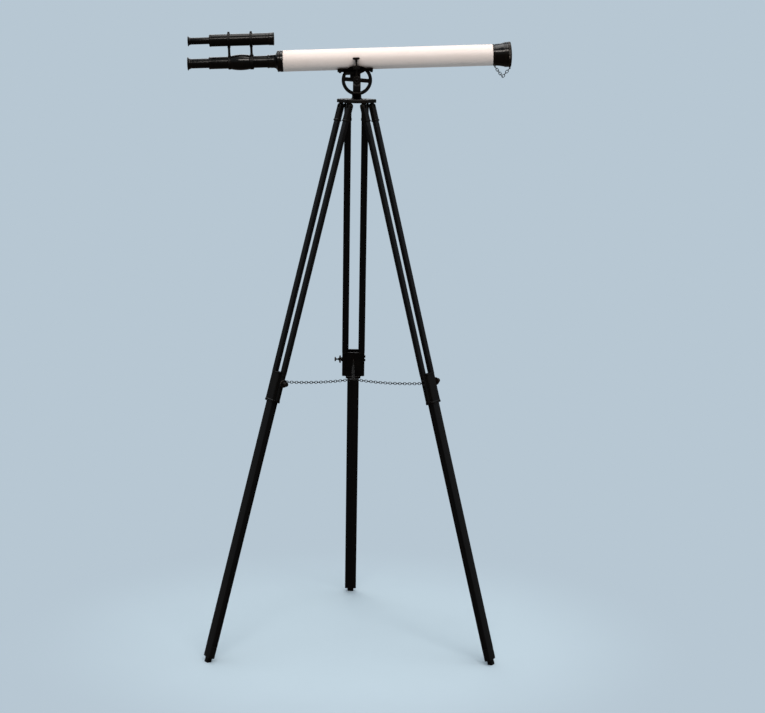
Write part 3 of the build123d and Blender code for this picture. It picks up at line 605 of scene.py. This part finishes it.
def leg_rods(leg, azimuth, number):
    """The two upper rods of a leg, with a tenon at each end."""
    section = round_section(rectangle(ROD_W / 2, ROD_T / 2), [1.9] * 4, steps=5)
    stations = [(40.2, 0.94, 0.90), (40.9, 0.985, 0.975), (41.8, 1, 1)]
    stations += [(z, 1, 1) for z in range(60, ROD_END - 20, 40)]
    stations += [(ROD_END - 1.2, 1, 1), (ROD_END - 0.05, 0.975, 0.96)]
    bm, grain = new_wooden()
    for i, side in enumerate((-1, 1)):
        matrix = leg_matrix(azimuth) @ Matrix.Translation((side * ROD_SPACING / 2, 0, 0))
        # each rod is cut from its own place in the grain
        offset = (37.0 * (number * 2 + i), 19.0 * number, 511.0 * i + 97.0 * number)
        add_bar(bm, grain, section, stations, matrix, offset)
        # tenon into the capped upper end
        add_bar(bm, grain, rectangle(7.7, 4.3), [(12.8, 1, 1), (40.3, 1, 1)], matrix)
        # tenon into the bracket
        add_bar(bm, grain, rectangle(4.1, 2.9, centre=0.6 * side),
                [(ROD_END - 0.2, 1, 1), (ROD_END + 15.8, 1, 1)], matrix)
    finish_mesh("rods_" + leg, bm, WOOD, "leg_" + leg, "leg_rods_" + leg, 30.0)


def lower_bar(leg, azimuth, number):
    """The lower bar of a leg, grooved down both narrow sides to near its foot."""
    w, t = BAR_W / 2, BAR_T / 2
    groove, depth = 11.3 / 2, 3.2              # half width and depth of a groove
    half = [(-w, -t), (w, -t), (w, -groove), (w - depth, -groove), (w - depth, groove), (w, groove)]
    outline = half + [(-x, -y) for x, y in half]
    section = round_section(outline, [1.7, 1.7, 0.5, 0.35, 0.35, 0.5] * 2)
    stations = [(BAR_TOP, 0.965, 0.93), (BAR_TOP + 0.7, 1, 1)]
    stations += [(z, 1, 1) for z in range(BAR_TOP + 40, BAR_END - 60, 44)]
    stations += [(BAR_END - 31.0, 1, 1)]
    # solid foot of the bar, past the end of the grooves
    foot_section = round_section(rectangle(w, t), [1.7] * 4)
    foot_stations = [(BAR_END - 31.2, 1, 1), (BAR_END - 14, 1, 1), (BAR_END - 1.6, 1, 1),
                     (BAR_END - 0.5, 0.985, 0.97), (BAR_END, 0.955, 0.92)]
    matrix = leg_matrix(azimuth)
    offset = (53.0 * number, 31.0 * number, 701.0 * number)
    bm, grain = new_wooden()
    add_bar(bm, grain, section, stations, matrix, offset)
    add_bar(bm, grain, foot_section, foot_stations, matrix, offset)
    finish_mesh("bar_" + leg, bm, WOOD, "lower_leg_" + leg, "lower_leg_" + leg, 30.0)


for number, (leg, azimuth) in enumerate(LEGS.items(), start=1):
    leg_rods(leg, azimuth, number)
    lower_bar(leg, azimuth, number)

# ------------------------------------------------------------------ metal of the legs
# name, CAD node, body, voxel size, smoothing passes, share of faces kept
LEG_CASTINGS = [
    ("bracket", "leg_bracket", "leg", 0.6, 5, 0.5),
    ("rod_ends", "leg_ferrules", "leg", 0.45, 4, 0.5),
    ("foot", "foot_tip", "lower_leg", 0.5, 3, 0.6),
]
for name, node, body, voxel, smooth, ratio in LEG_CASTINGS:
    copies = [(f"{name}_{leg}", f"{body}_{leg}", f"{node}_{leg}", azimuth - LEGS["back"])
              for leg, azimuth in LEGS.items()]
    cast(node + "_back", leg_matrix(LEGS["back"]), copies, voxel, smooth, ratio)

# From here on every profile is a list of (distance along the lathe axis, radius).
KNOB = (ROD_SPACING + ROD_W) / 2 + 3.0         # inner face of the clamp knob, across the leg
CLAMP_SCREW = [
    (13.1, 0), (13.1, 2.0), (13.5, 2.45), (KNOB + 0.1, 2.45), (KNOB + 0.1, 8.4),
    (KNOB + 0.7, 10.5), (KNOB + 3.6, 10.5), (KNOB + 4.4, 9.2), (KNOB + 5.2, 4.4),
    (KNOB + 8.5, 2.0), (KNOB + 13.0, 2.0), (KNOB + 14.2, 5.2), (KNOB + 14.8, 6.1),
    (KNOB + 16.8, 6.1), (KNOB + 17.5, 5.0), (KNOB + 17.85, 0)]
for leg, azimuth in LEGS.items():
    lathe("clamp_screw_" + leg, CLAMP_SCREW,
          leg_matrix(azimuth) @ Matrix.Translation((0, 0, CLAMP_AT)), SCREW_BRONZE,
          "leg_clamp_" + leg, "leg_clamp_screw_" + leg, segments=288, rounding=0.3,
          knurls=[(KNOB + 0.5, KNOB + 3.9, 48, 0.5, 9.8), (KNOB + 14.6, KNOB + 17.0, 36, 0.3, 5.8)])

# ------------------------------------------------------------------ head
cast_one("crown", "tripod_crown", IDENTITY, "tripod_head", voxel=0.6, smooth=5)


def crown_pins():
    """Two headed hinge pins to each leg, lying tangentially."""
    profile = mirrored([(-11.16, 0), (-11.1, 1.6), (-10.7, 2.9), (-9.7, 3.1), (-9.7, 1.98)])
    bm, axial = new_turned()
    for azimuth in LEGS.values():
        outward, tangent = leg_axes(azimuth)
        hinge = Matrix((tangent, -outward, Vector((0, 0, 1)))).transposed().to_4x4()
        hinge.translation = outward * HINGE_R + Vector((0, 0, HINGE_Z))
        for side in (-1, 1):
            matrix = hinge @ Matrix.Translation((side * ROD_SPACING / 2, 0, 0))
            add_lathe(bm, axial, profile, matrix, segments=40, rounding=0.3)
    finish_mesh("crown_pins", bm, SCREW_BRONZE, "tripod_head", "crown_hinge_pins")


crown_pins()
cast_one("fork", "altitude_yoke", IDENTITY, "azimuth_fork", voxel=0.42, smooth=6)
cast_one("altitude_wheel_piece", "altitude_wheel", ALTITUDE, "telescope", voxel=0.5, smooth=6)
cast_one("saddle_piece", "saddle", ALTITUDE, "telescope", voxel=0.5, smooth=5)

AXLE = mirrored([(-42.5, 0), (-42.3, 2.4), (-41.4, 3.7), (-40.9, 3.95), (-32.4, 3.95),
                 (-32.4, 5.9)])
lathe("axle", AXLE, ALTITUDE @ X_TO_Y, TURNED_BRONZE, "telescope", "altitude_axle",
      segments=64, rounding=0.3)

THUMB_SCREW = [
    (10.08, 0), (10.08, 1.5), (10.5, 2.0), (46.4, 2.0), (47.3, 2.75), (49.6, 2.85), (52.0, 2.85),
    (52.4, 3.4), (53.0, 7.0), (53.6, 8.1), (54.3, 8.9), (57.5, 8.9), (58.5, 8.1), (58.9, 3.0),
    (59.0, 0)]
THUMB_SCREW_Y = -37                            # in front of the tripod's axis
lathe("thumb_screw", THUMB_SCREW, ALTITUDE @ Matrix.Translation((0, THUMB_SCREW_Y, 0)) @ X_TO_UP,
      SCREW_BRONZE, "altitude_clamp", "altitude_thumb_screw", segments=320,
      knurls=[(54.0, 57.8, 40, 0.45, 8.5)])

# ------------------------------------------------------------------ main tube
TUBE_SHELL = [(TUBE_BACK, 24.8), (TUBE_BACK, 26.0), (TUBE_FRONT, 26.0), (TUBE_FRONT, 24.8)]
lathe("tube_inner", TUBE_SHELL, TUBE, INSIDE, "telescope", "main_tube",
      rounding=0.1)

SEAM = radians(-62.0)          # angle round the tube: 0 is +Y, -90 degrees is straight down
SEAM_R = 27.3                  # radius at which distances from the seam are measured
STITCH_LINE = 2.9              # from the seam to the stitches each side


def leather_sleeve():
    """Hide wrapped round the tube and closed with a butt seam, low on the +Y side."""
    segments, steps = 192, 220
    outer_r, inner_r = 27.32, 26.05
    end_r = 1.4                                # length of the turned-in ends
    bm = bmesh.new()
    rings = []
    for i in range(steps + 1):
        x = TUBE_BACK + (TUBE_FRONT - TUBE_BACK) * i / steps
        from_end = min(x - TUBE_BACK, TUBE_FRONT - x)
        ring = []
        for angle in circle_angles(segments):
            # slight unevenness of the hide
            r = outer_r
            r += 0.035 * sin(x * 0.043 + 2.0 * sin(angle)) + 0.03 * sin(x * 0.11 + 3 * angle)
            from_seam = abs((angle - SEAM + pi) % (2 * pi) - pi) * SEAM_R
            # the butt joint, and the hide lifted beside it
            r -= 0.42 * math.exp(-(from_seam / 0.5) ** 2)
            r += 0.16 * math.exp(-((from_seam - STITCH_LINE) / 1.5) ** 2)
            if from_end < end_r:
                r -= 0.75 * (1 - sqrt(max(0.0, 1 - (1 - from_end / end_r) ** 2)))
            ring.append(bm.verts.new(TUBE @ Vector((x, r * cos(angle), r * sin(angle))) * MM))
        rings.append(ring)
    for x in (TUBE_FRONT, TUBE_BACK):
        rings.append([bm.verts.new(TUBE @ Vector((x, inner_r * cos(a), inner_r * sin(a))) * MM)
                      for a in circle_angles(segments)])
    join_rings(bm, rings, closed=True)
    finish_mesh("leather_sleeve", bm, LEATHER, "telescope", "leather_wrap", 50.0)


def leather_stitching():
    """A row of stitches each side of the butt seam, arched above the hide."""
    surface_r, thread_r = 27.42, 0.27
    margin, pitch, length = 5.0, 4.4, 3.3
    steps = 6
    bm = bmesh.new()
    x = TUBE_BACK + margin
    while x < TUBE_FRONT - margin:
        for side in (-1, 1):
            angle = SEAM + side * STITCH_LINE / SEAM_R
            radial = Vector((0, cos(angle), sin(angle)))
            tangent = Vector((0, -sin(angle), cos(angle)))
            rings = []
            for k in range(steps + 1):
                w = k / steps
                r = surface_r + (0.30 * sin(pi * w) - 0.12)
                centre = Vector((x + length * w, r * cos(angle), r * sin(angle)))
                rings.append(wire_ring(bm, centre, tangent, radial, thread_r, 6, TUBE))
            bm.faces.new(rings[0])
            join_rings(bm, rings)
            bm.faces.new(list(reversed(rings[-1])))
        x += pitch
    finish_mesh("leather_stitching", bm, THREAD, "telescope", angle=60.0)


leather_sleeve()
leather_stitching()

TAIL_FLANGE = shifted([
    (-231.0, 15.56), (-231.0, 16.4), (-229.6, 17.4), (-227.6, 17.5), (-226.4, 17.0),
    (-225.6, 16.3), (-224.0, 16.2), (-223.2, 16.9), (-217.4, 16.9),
    *arc((-216.2, 17.1), (-208.8, 19.2), (-205.6, 24.2), 10),
    (-205.0, 25.8), (-204.2, 27.2), (-203.2, 27.6), (-200.6, 27.6), (-199.9, 27.1),
    (-199.5, 26.5), (-198.7, 26.5), (-198.3, 27.2), (-197.4, 27.7), (-191.2, 27.7),
    (-190.05, 27.2), (-190.05, 24.75), (-172.0, 24.75), (-172.0, 15.56)], along=1.0)
lathe("tail_flange_piece", TAIL_FLANGE, TUBE, TURNED_BRONZE, "telescope", "tail_flange",
      segments=160, rounding=0.4)

HOOD = [
    (336.0, 21.5), (336.0, 24.75), (353.55, 24.75), (353.55, 27.4), (354.2, 28.0),
    (355.6, 28.05), (356.4, 27.3), (358.2, 27.25), (359.0, 27.8),
    *arc((361.0, 27.9), (372.0, 28.85), (380.0, 30.3), 8),
    (381.4, 30.46), (393.6, 30.46), (393.6, 28.5), (372.5, 25.6), (372.5, 23.1),
    (356.0, 23.1), (356.0, 21.5)]
lathe("objective_hood", HOOD, TUBE, TURNED_BRONZE, "telescope", "objective_cell",
      segments=160, rounding=0.4)

CAP = [
    (383.35, 30.58), (383.35, 31.5), (384.3, 32.1), (386.4, 32.15), (387.0, 31.7),
    (387.8, 31.7), (388.4, 32.1), (391.8, 32.1), (392.5, 31.6), (393.2, 31.6), (393.8, 32.6),
    (398.6, 32.6), (399.6, 31.8),
    # domed outer face, then the inner face back from the axis
    *arc((400.2, 31.0), (402.5, 16.2), (403.15, 0.0), 14),
    (401.4, 0), *arc((401.4, 0.01), (400.8, 14.5), (398.5, 29.0), 10)[1:],
    (394.3, 30.58)]
lathe("cap_piece", CAP, TUBE, TURNED_BRONZE, "cap", "dust_cap", segments=720, rounding=0.3,
      knurls=[(393.6, 399.0, 96, 0.55, 32.0)])

# ------------------------------------------------------------------ draw tube and finder
MAIN_DRAW = [
    (-381.05, 12.46), (-381.05, 14.6), (-380.2, 15.6), (-378.9, 15.75), (-376.8, 15.75),
    (-375.9, 15.2), (-375.2, 15.0), (-374.6, 15.5), (-180.0, 15.5), (-180.0, 13.6),
    (-372.0, 13.6), (-372.6, 12.46)]
lathe("main_draw", MAIN_DRAW, TUBE, TUBE_BRONZE, "main_draw", "main_draw_tube",
      segments=128)

SLEEVE = shifted([
    (-326.6, 15.52), (-326.6, 17.0), (-325.8, 17.5), (-324.6, 17.55),
    *arc((-323.8, 17.9), (-300.0, 20.45), (-279.4, 18.6), 18),
    (-278.6, 18.3), (-277.6, 17.9), (-277.6, 15.52)], along=2.6)
lathe("sleeve_piece", SLEEVE, TUBE, TURNED_BRONZE, "main_draw", "draw_sleeve",
      segments=128)

cast_one("finder_mount", "finder_brackets", TUBE, "main_draw", voxel=0.32, smooth=4, ratio=0.6)


def finder_screws():
    """A small upright screw on top of each finder bracket."""
    base = FINDER_H + 15.5                     # top of the finder tube
    profile = [(base + 0.1, 0), (base + 0.1, 1.22), (base + 3.65, 1.22), (base + 3.65, 2.6),
               (base + 5.2, 2.75), (base + 5.75, 2.0), (base + 5.85, 0)]
    bm, axial = new_turned()
    for x in (-327.6, -270.0):
        add_lathe(bm, axial, profile, TUBE @ Matrix.Translation((x, 0, 0)) @ X_TO_UP,
                  segments=32, rounding=0.25)
    finish_mesh("finder_screws", bm, SCREW_BRONZE, "main_draw",
                "finder_clamp_screws")


finder_screws()

FINDER_BODY = [
    (-377.65, 8.96), (-377.65, 14.3), (-376.9, 15.6), (-376.0, 16.0), (-373.6, 16.0),
    (-372.7, 15.5), (-372.2, 15.2), (-371.6, 15.5), (-232.1, 15.5), (-231.6, 15.2),
    (-231.1, 15.5), (-224.15, 15.5), (-224.15, 14.32), (-370.6, 14.32), (-370.6, 8.96)]
lathe("finder_body", FINDER_BODY, FINDER, TUBE_BRONZE, "main_draw", "finder_tube",
      segments=128, rounding=0.3)

FINDER_FRONT = shifted([
    (-236.0, 12.4), (-236.0, 14.28), (-228.0, 14.28), (-228.0, 15.6), (-227.0, 16.4),
    (-225.6, 16.5), (-224.9, 16.1), (-219.2, 16.3), (-217.6, 16.8), (-215.6, 16.85),
    (-214.6, 16.3), (-214.4, 15.4), (-214.6, 14.8), (-222.0, 13.3), (-229.6, 13.2),
    (-229.6, 12.4)], along=3.9)
lathe("finder_front", FINDER_FRONT, FINDER, TURNED_BRONZE, "main_draw",
      "finder_objective_ring", segments=128, rounding=0.3)

EYEPIECE_DRAW = [
    (-428.4, 11.2), (-428.4, 12.4), (-424.9, 12.4), (-424.5, 12.15), (-424.1, 12.4),
    (-316.0, 12.4), (-316.0, 11.2)]
lathe("eyepiece_draw_piece", EYEPIECE_DRAW, TUBE, TUBE_BRONZE, "eyepiece_draw",
      "eyepiece_draw_tube", segments=112, rounding=0.2)

EYECUP = shifted([
    (-424.0, 10.2), (-424.0, 11.15), (-432.45, 11.15), (-432.55, 13.0), (-433.2, 13.5),
    (-434.4, 13.6), *arc((-435.0, 13.9), (-437.2, 15.2), (-438.4, 17.0), 6),
    (-439.2, 17.2), (-440.0, 17.0), (-440.2, 16.4), (-439.9, 15.8),
    *arc((-439.4, 15.3), (-437.6, 12.8), (-436.9, 9.2), 8),
    (-436.8, 5.4), (-436.3, 5.1), (-434.8, 5.2), (-434.6, 10.2)], along=4.1)
lathe("eyecup_piece", EYECUP, TUBE, TURNED_BRONZE, "eyepiece_draw", "eyecup",
      segments=128, rounding=0.25)

FINDER_DRAW = [(-426.3, 7.9), (-426.3, 8.9), (-318.0, 8.9), (-318.0, 7.9)]
lathe("finder_draw_piece", FINDER_DRAW, FINDER, TUBE_BRONZE, "finder_draw",
      "finder_draw_tube", rounding=0.2)

FINDER_EYECUP = shifted([
    (-426.0, 7.0), (-426.0, 7.85), (-432.45, 7.85), (-432.55, 9.3), (-433.4, 9.8),
    (-434.4, 9.85), *arc((-435.0, 10.1), (-436.8, 11.3), (-437.8, 12.9), 5),
    (-438.4, 13.1), (-439.0, 12.9), (-439.2, 12.4),
    *arc((-438.8, 11.9), (-437.0, 9.4), (-436.3, 6.4), 6),
    (-436.1, 4.2), (-435.4, 4.0), (-434.4, 4.2), (-434.4, 7.0)], along=6.2)
lathe("finder_eyecup_piece", FINDER_EYECUP, FINDER, TURNED_BRONZE, "finder_draw",
      "finder_eyecup", segments=112, rounding=0.25)

# ------------------------------------------------------------------ chains
LINK_L, LINK_W, LINK_WIRE = 10.6, 7.6, 1.6     # length and width overall, wire diameter


def add_link(bm, centre, along, side):
    """Oval wire link, long way along, lying in the plane of along and side."""
    bend_r = (LINK_W - LINK_WIRE) / 2
    half_straight = (LINK_L - LINK_WIRE) / 2 - bend_r
    steps = 9
    along = along.normalized()
    up = along.cross(side).normalized()
    side = up.cross(along).normalized()
    rings = []
    for end, start in ((half_straight, -pi / 2), (-half_straight, pi / 2)):
        for k in range(steps + 1):
            a = start + pi * k / steps
            middle = centre + along * (end + bend_r * cos(a)) + side * (bend_r * sin(a))
            rings.append(wire_ring(bm, middle, along * cos(a) + side * sin(a), up,
                                   LINK_WIRE / 2, 10))
    join_rings(bm, rings, closed=True)


def hanging_links(start, end, sag, count, first, last):
    """(centre, direction) of links along a shallow curve.

    first and last are the distances of the end links' centres from the ends of the curve.
    """
    steps = 400
    points = []
    for i in range(steps + 1):
        w = i / steps
        points.append(start.lerp(end, w) - Vector((0, 0, 4 * sag * w * (1 - w))))
    lengths = [0.0]
    for a, b in zip(points, points[1:]):
        lengths.append(lengths[-1] + (b - a).length)
    pitch = (lengths[-1] - first - last) / (count - 1)
    links = []
    j = 0
    for k in range(count):
        target = first + k * pitch
        while j < steps - 1 and lengths[j + 1] < target:
            j += 1
        w = (target - lengths[j]) / (lengths[j + 1] - lengths[j])
        links.append((points[j].lerp(points[j + 1], w), (points[j + 1] - points[j]).normalized()))
    return links


def spreader_chain(leg, azimuth):
    """A chain from the middle ring to a leg, in an inner and an outer half."""
    down_leg, inward = 735.0, 15.5             # the outer end, in the leg's frame
    inner_count = 15
    outward, tangent = leg_axes(azimuth)
    end_r = HINGE_R + down_leg * sin(SPLAY) - inward * cos(SPLAY)
    end_z = HINGE_Z - inward * sin(SPLAY) - down_leg * cos(SPLAY)
    links = hanging_links(outward * RING_R + Vector((0, 0, RING_Z)),
                          outward * end_r + Vector((0, 0, end_z)),
                          sag=4.4, count=28, first=2.5, last=5.8)
    meshes = {"inner": bmesh.new(), "outer": bmesh.new()}
    for k, (centre, along) in enumerate(links):
        # links stand upright and lie flat by turns
        side = along.cross(tangent).normalized() if k % 2 == 0 else tangent
        add_link(meshes["inner" if k < inner_count else "outer"], centre, along, side)
    for part, bm in meshes.items():
        chain = f"chain_{part}_{leg}"
        finish_mesh(chain + "_links", bm, CHAIN_BRONZE, chain, "spreader_" + chain, 60.0)


def chain_ring():
    section = [(RING_R + RING_WIRE_R * cos(a), RING_WIRE_R * sin(a)) for a in circle_angles(14)]
    bm = bmesh.new()
    rings = [[bm.verts.new(Vector((r * cos(a), r * sin(a), RING_Z + z)) * MM) for r, z in section]
             for a in circle_angles(56)]
    join_rings(bm, rings, closed=True)
    finish_mesh("chain_ring", bm, CHAIN_BRONZE, "tripod_head", "spreader_ring", 60.0)


for leg, azimuth in LEGS.items():
    spreader_chain(leg, azimuth)
chain_ring()

# The cap chain hangs between two eyes under the tube: place along the tube, radius there.
HOOD_EYE, CAP_EYE = (358.6, 27.6), (397.2, 32.6)
EYE_DROP = 2.4                                 # from that radius to the middle of the eye


def eye_centre(x, r):
    return Vector((x, 0, -r - EYE_DROP))


def cap_chain():
    """Two straight halves that meet below the eyes."""
    hood_count, hood_pitch = 5, 6.1
    cap_count, cap_pitch = 4, 7.32
    first = 4.1                                # from an eye to the first link's centre
    hood_end, cap_end = eye_centre(*HOOD_EYE), eye_centre(*CAP_EYE)
    hood_length = first + (hood_count - 1) * hood_pitch + 4.5
    cap_length = first + (cap_count - 1) * cap_pitch + 2.84
    # the meeting point is the third corner of a triangle with known sides
    dx, dz = cap_end.x - hood_end.x, cap_end.z - hood_end.z
    gap = hypot(dx, dz)
    across = (hood_length * hood_length - cap_length * cap_length + gap * gap) / (2 * gap)
    drop = sqrt(hood_length * hood_length - across * across)
    meeting = Vector((hood_end.x + dx / gap * across + dz / gap * drop, 0,
                      hood_end.z + dz / gap * across - dx / gap * drop))
    y_axis = Vector((0, 1, 0))
    turn = TUBE.to_3x3()
    for half, end, count, pitch, node in (
            ("cap_chain_a", hood_end, hood_count, hood_pitch, "cap_chain_hood_half"),
            ("cap_chain_b", cap_end, cap_count, cap_pitch, "cap_chain_cap_half")):
        bm = bmesh.new()
        along = (meeting - end).normalized()
        for k in range(count):
            centre = end + along * (first + k * pitch)
            side = y_axis if k % 2 == 0 else along.cross(y_axis).normalized()
            add_link(bm, TUBE @ centre, turn @ along, turn @ side)
        finish_mesh(half + "_links", bm, CHAIN_BRONZE, half, node, 60.0)


def staple(name, body, x, r):
    """Small eye under the tube: a wire loop and a turned foot."""
    loop_r, wire_r = 1.85, 0.52
    foot = [(0.0, 0), (0.0, 2.1), (0.55, 2.1), (0.95, 1.1), (1.5, 0.7), (1.6, 0)]
    sunk = 0.45                                # depth of the foot's base inside radius r
    bm, axial = new_turned()
    centre = eye_centre(x, r)
    rings = []
    for a in circle_angles(28):
        spoke = Vector((cos(a), 0, sin(a)))
        rings.append(wire_ring(bm, centre + spoke * loop_r, spoke, Vector((0, 1, 0)),
                               wire_r, 10, TUBE))
    join_rings(bm, rings, closed=True)
    matrix = TUBE @ Matrix.Translation((x, 0, -r + sunk)) @ X_TO_DOWN
    add_lathe(bm, axial, foot, matrix, segments=28, rounding=0.15)
    finish_mesh(name, bm, SCREW_BRONZE, body, angle=40.0)


cap_chain()
staple("hood_staple", "telescope", *HOOD_EYE)
staple("cap_staple", "cap", *CAP_EYE)

# ------------------------------------------------------------------ CAD nodes kept as they are
KEPT_NODES = {
    "saddle_fasteners": SCREW_BRONZE, "azimuth_spindle": SCREW_BRONZE,
    "spindle_nut_and_washer": SCREW_BRONZE,
    "objective_crown_lens": GLASS, "objective_flint_lens": GLASS,
    "objective_retaining_ring": INSIDE,
    "erector_lens": GLASS, "finder_objective_lens": GLASS, "eye_lens": GLASS,
    "field_lens": GLASS, "finder_eye_lens": GLASS}
for node, material in KEPT_NODES.items():
    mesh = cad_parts[node].data
    mesh.materials.clear()
    mesh.materials.append(material)
    for polygon in mesh.polygons:
        polygon.material_index = 0

# ------------------------------------------------------------------ stage, in metres
FLOOR_COLOR = (0.424, 0.486, 0.514)
FAR_COLOR = (0.474, 0.571, 0.651)


def sweep(name, profile):
    """A surface of (radius, z) points turned about the tripod's axis."""
    bm = bmesh.new()
    rings = []
    for r, z in profile:
        angles = circle_angles(96) if r else [0.0]
        rings.append([bm.verts.new((r * cos(a), r * sin(a), z)) for a in angles])
    join_rings(bm, rings)
    ob = smooth_object(name, bm)
    ob.location = TRIPOD_AXIS * MM
    return ob


def backdrop_paper():
    """Painted paper: lit like a matt floor near the tripod, an even pale tone further out."""
    material = bpy.data.materials.new("backdrop_paper")
    s = Shader(material)
    coords = s.object_coords()
    blotch = s.noise(coords, scale=1.3, detail=5, rough=0.6)
    lighter = tuple(c * 1.035 for c in FLOOR_COLOR)
    s.surface({"Base Color": s.mix(s.fade(blotch, start=0.32, end=0.70), FLOOR_COLOR, lighter),
               "Roughness": 0.95, "Specular IOR Level": 0.0})
    glow = s.node("ShaderNodeEmission", {"Color": FAR_COLOR})
    distance = s.node("ShaderNodeVectorMath", {0: coords}, operation="LENGTH").outputs["Value"]
    far = s.remap(distance, source=(0.30, 0.95), interpolation="SMOOTHSTEP")
    paper = s.node("ShaderNodeMixShader", {0: far, 1: s.find("BSDF_PRINCIPLED").outputs[0],
                                           2: glow.outputs[0]})
    s.feed(s.find("OUTPUT_MATERIAL"), {"Surface": paper.outputs[0]})
    return material


floor = sweep("floor", [(0.0, 0.0), (0.5, 0.0), (1.0, 0.0), (2.0, 0.0), (4.0, 0.0), (8.0, 0.0),
                        (11.0, 0.0)])
wall = sweep("wall", [(10.9, 0.0), (11.0, 2.0), (10.8, 5.0), (9.0, 8.5), (5.0, 10.5),
                      (0.0, 11.0)])
paper = backdrop_paper()
floor.data.materials.append(paper)
wall.data.materials.append(paper)
floor.visible_glossy = False
# the wall is a backdrop only and doesn't light or shade the telescope
wall.visible_diffuse = False
wall.visible_glossy = False
wall.visible_shadow = False
wall.visible_transmission = False


# ------------------------------------------------------------------ light
def studio_world():
    """Ambient light, from a dim warm floor up to a cool ceiling."""
    world = bpy.data.worlds.new("studio")
    scene.world = world
    s = Shader(world)
    direction = s.node("ShaderNodeTexCoord").outputs["Generated"]
    height = s.node("ShaderNodeSeparateXYZ", {0: direction}).outputs["Z"]
    sky = s.ramp(s.remap(height, source=(-1.0, 1.0)), [
        (0.0, (0.10, 0.085, 0.075)), (0.48, (0.12, 0.12, 0.12)),
        (0.72, (0.34, 0.40, 0.46)), (1.0, (0.62, 0.72, 0.82))])
    s.feed(s.find("BACKGROUND"), {"Color": sky, "Strength": 1.0})


def area_light(name, location, target, size, power, color):
    """Rectangular light of size (width, height) metres, aimed at target."""
    light = bpy.data.lights.new(name, "AREA")
    light.shape = "RECTANGLE"
    light.size, light.size_y = size
    light.energy = power
    light.color = color
    ob = bpy.data.objects.new(name, light)
    coll.objects.link(ob)
    ob.location = Vector(location) + TRIPOD_AXIS * MM
    ob.rotation_mode = "QUATERNION"
    ob.rotation_quaternion = (Vector(target) - Vector(location)).to_track_quat("-Z", "Y")


studio_world()
area_light("key", location=(0.5, -3.1, 4.2), target=(0, 0, 1.2), size=(3.2, 0.9), power=130,
           color=(0.975, 0.985, 1.0))
area_light("top", location=(0.2, 0.2, 4.9), target=(0, 0, 0.8), size=(3.4, 2.2), power=120,
           color=(0.97, 0.985, 1.0))
area_light("back", location=(-0.9, 3.3, 2.9), target=(0, 0, 1.1), size=(2.6, 1.2), power=26,
           color=(0.97, 0.985, 1.0))


# ------------------------------------------------------------------ camera
def add_camera():
    """Camera in front of the tripod, looking along +Y and a little down."""
    position = Vector((-0.004, -4.9535, 1.6528))   # metres from the foot of the tripod's axis
    yaw, pitch, roll = 0.0168, 0.1747, 0.0153      # radians: towards +X, down, about the view
    data = bpy.data.cameras.new("camera")
    data.lens = 88.98
    data.sensor_width = 36.0
    data.clip_end = 60
    data.shift_x = -0.00091503
    forward = Vector((sin(yaw) * cos(pitch), cos(yaw) * cos(pitch), -sin(pitch)))
    level = Vector((cos(yaw), -sin(yaw), 0))
    upright = level.cross(forward)
    right = level * cos(roll) + upright * sin(roll)
    up = -level * sin(roll) + upright * cos(roll)
    matrix = Matrix((right, up, -forward)).transposed().to_4x4()
    matrix.translation = position + TRIPOD_AXIS * MM
    camera = bpy.data.objects.new("camera", data)
    coll.objects.link(camera)
    camera.matrix_world = matrix
    scene.camera = camera


add_camera()
scene.view_settings.view_transform = "Standard"
scene.view_settings.look = "None"
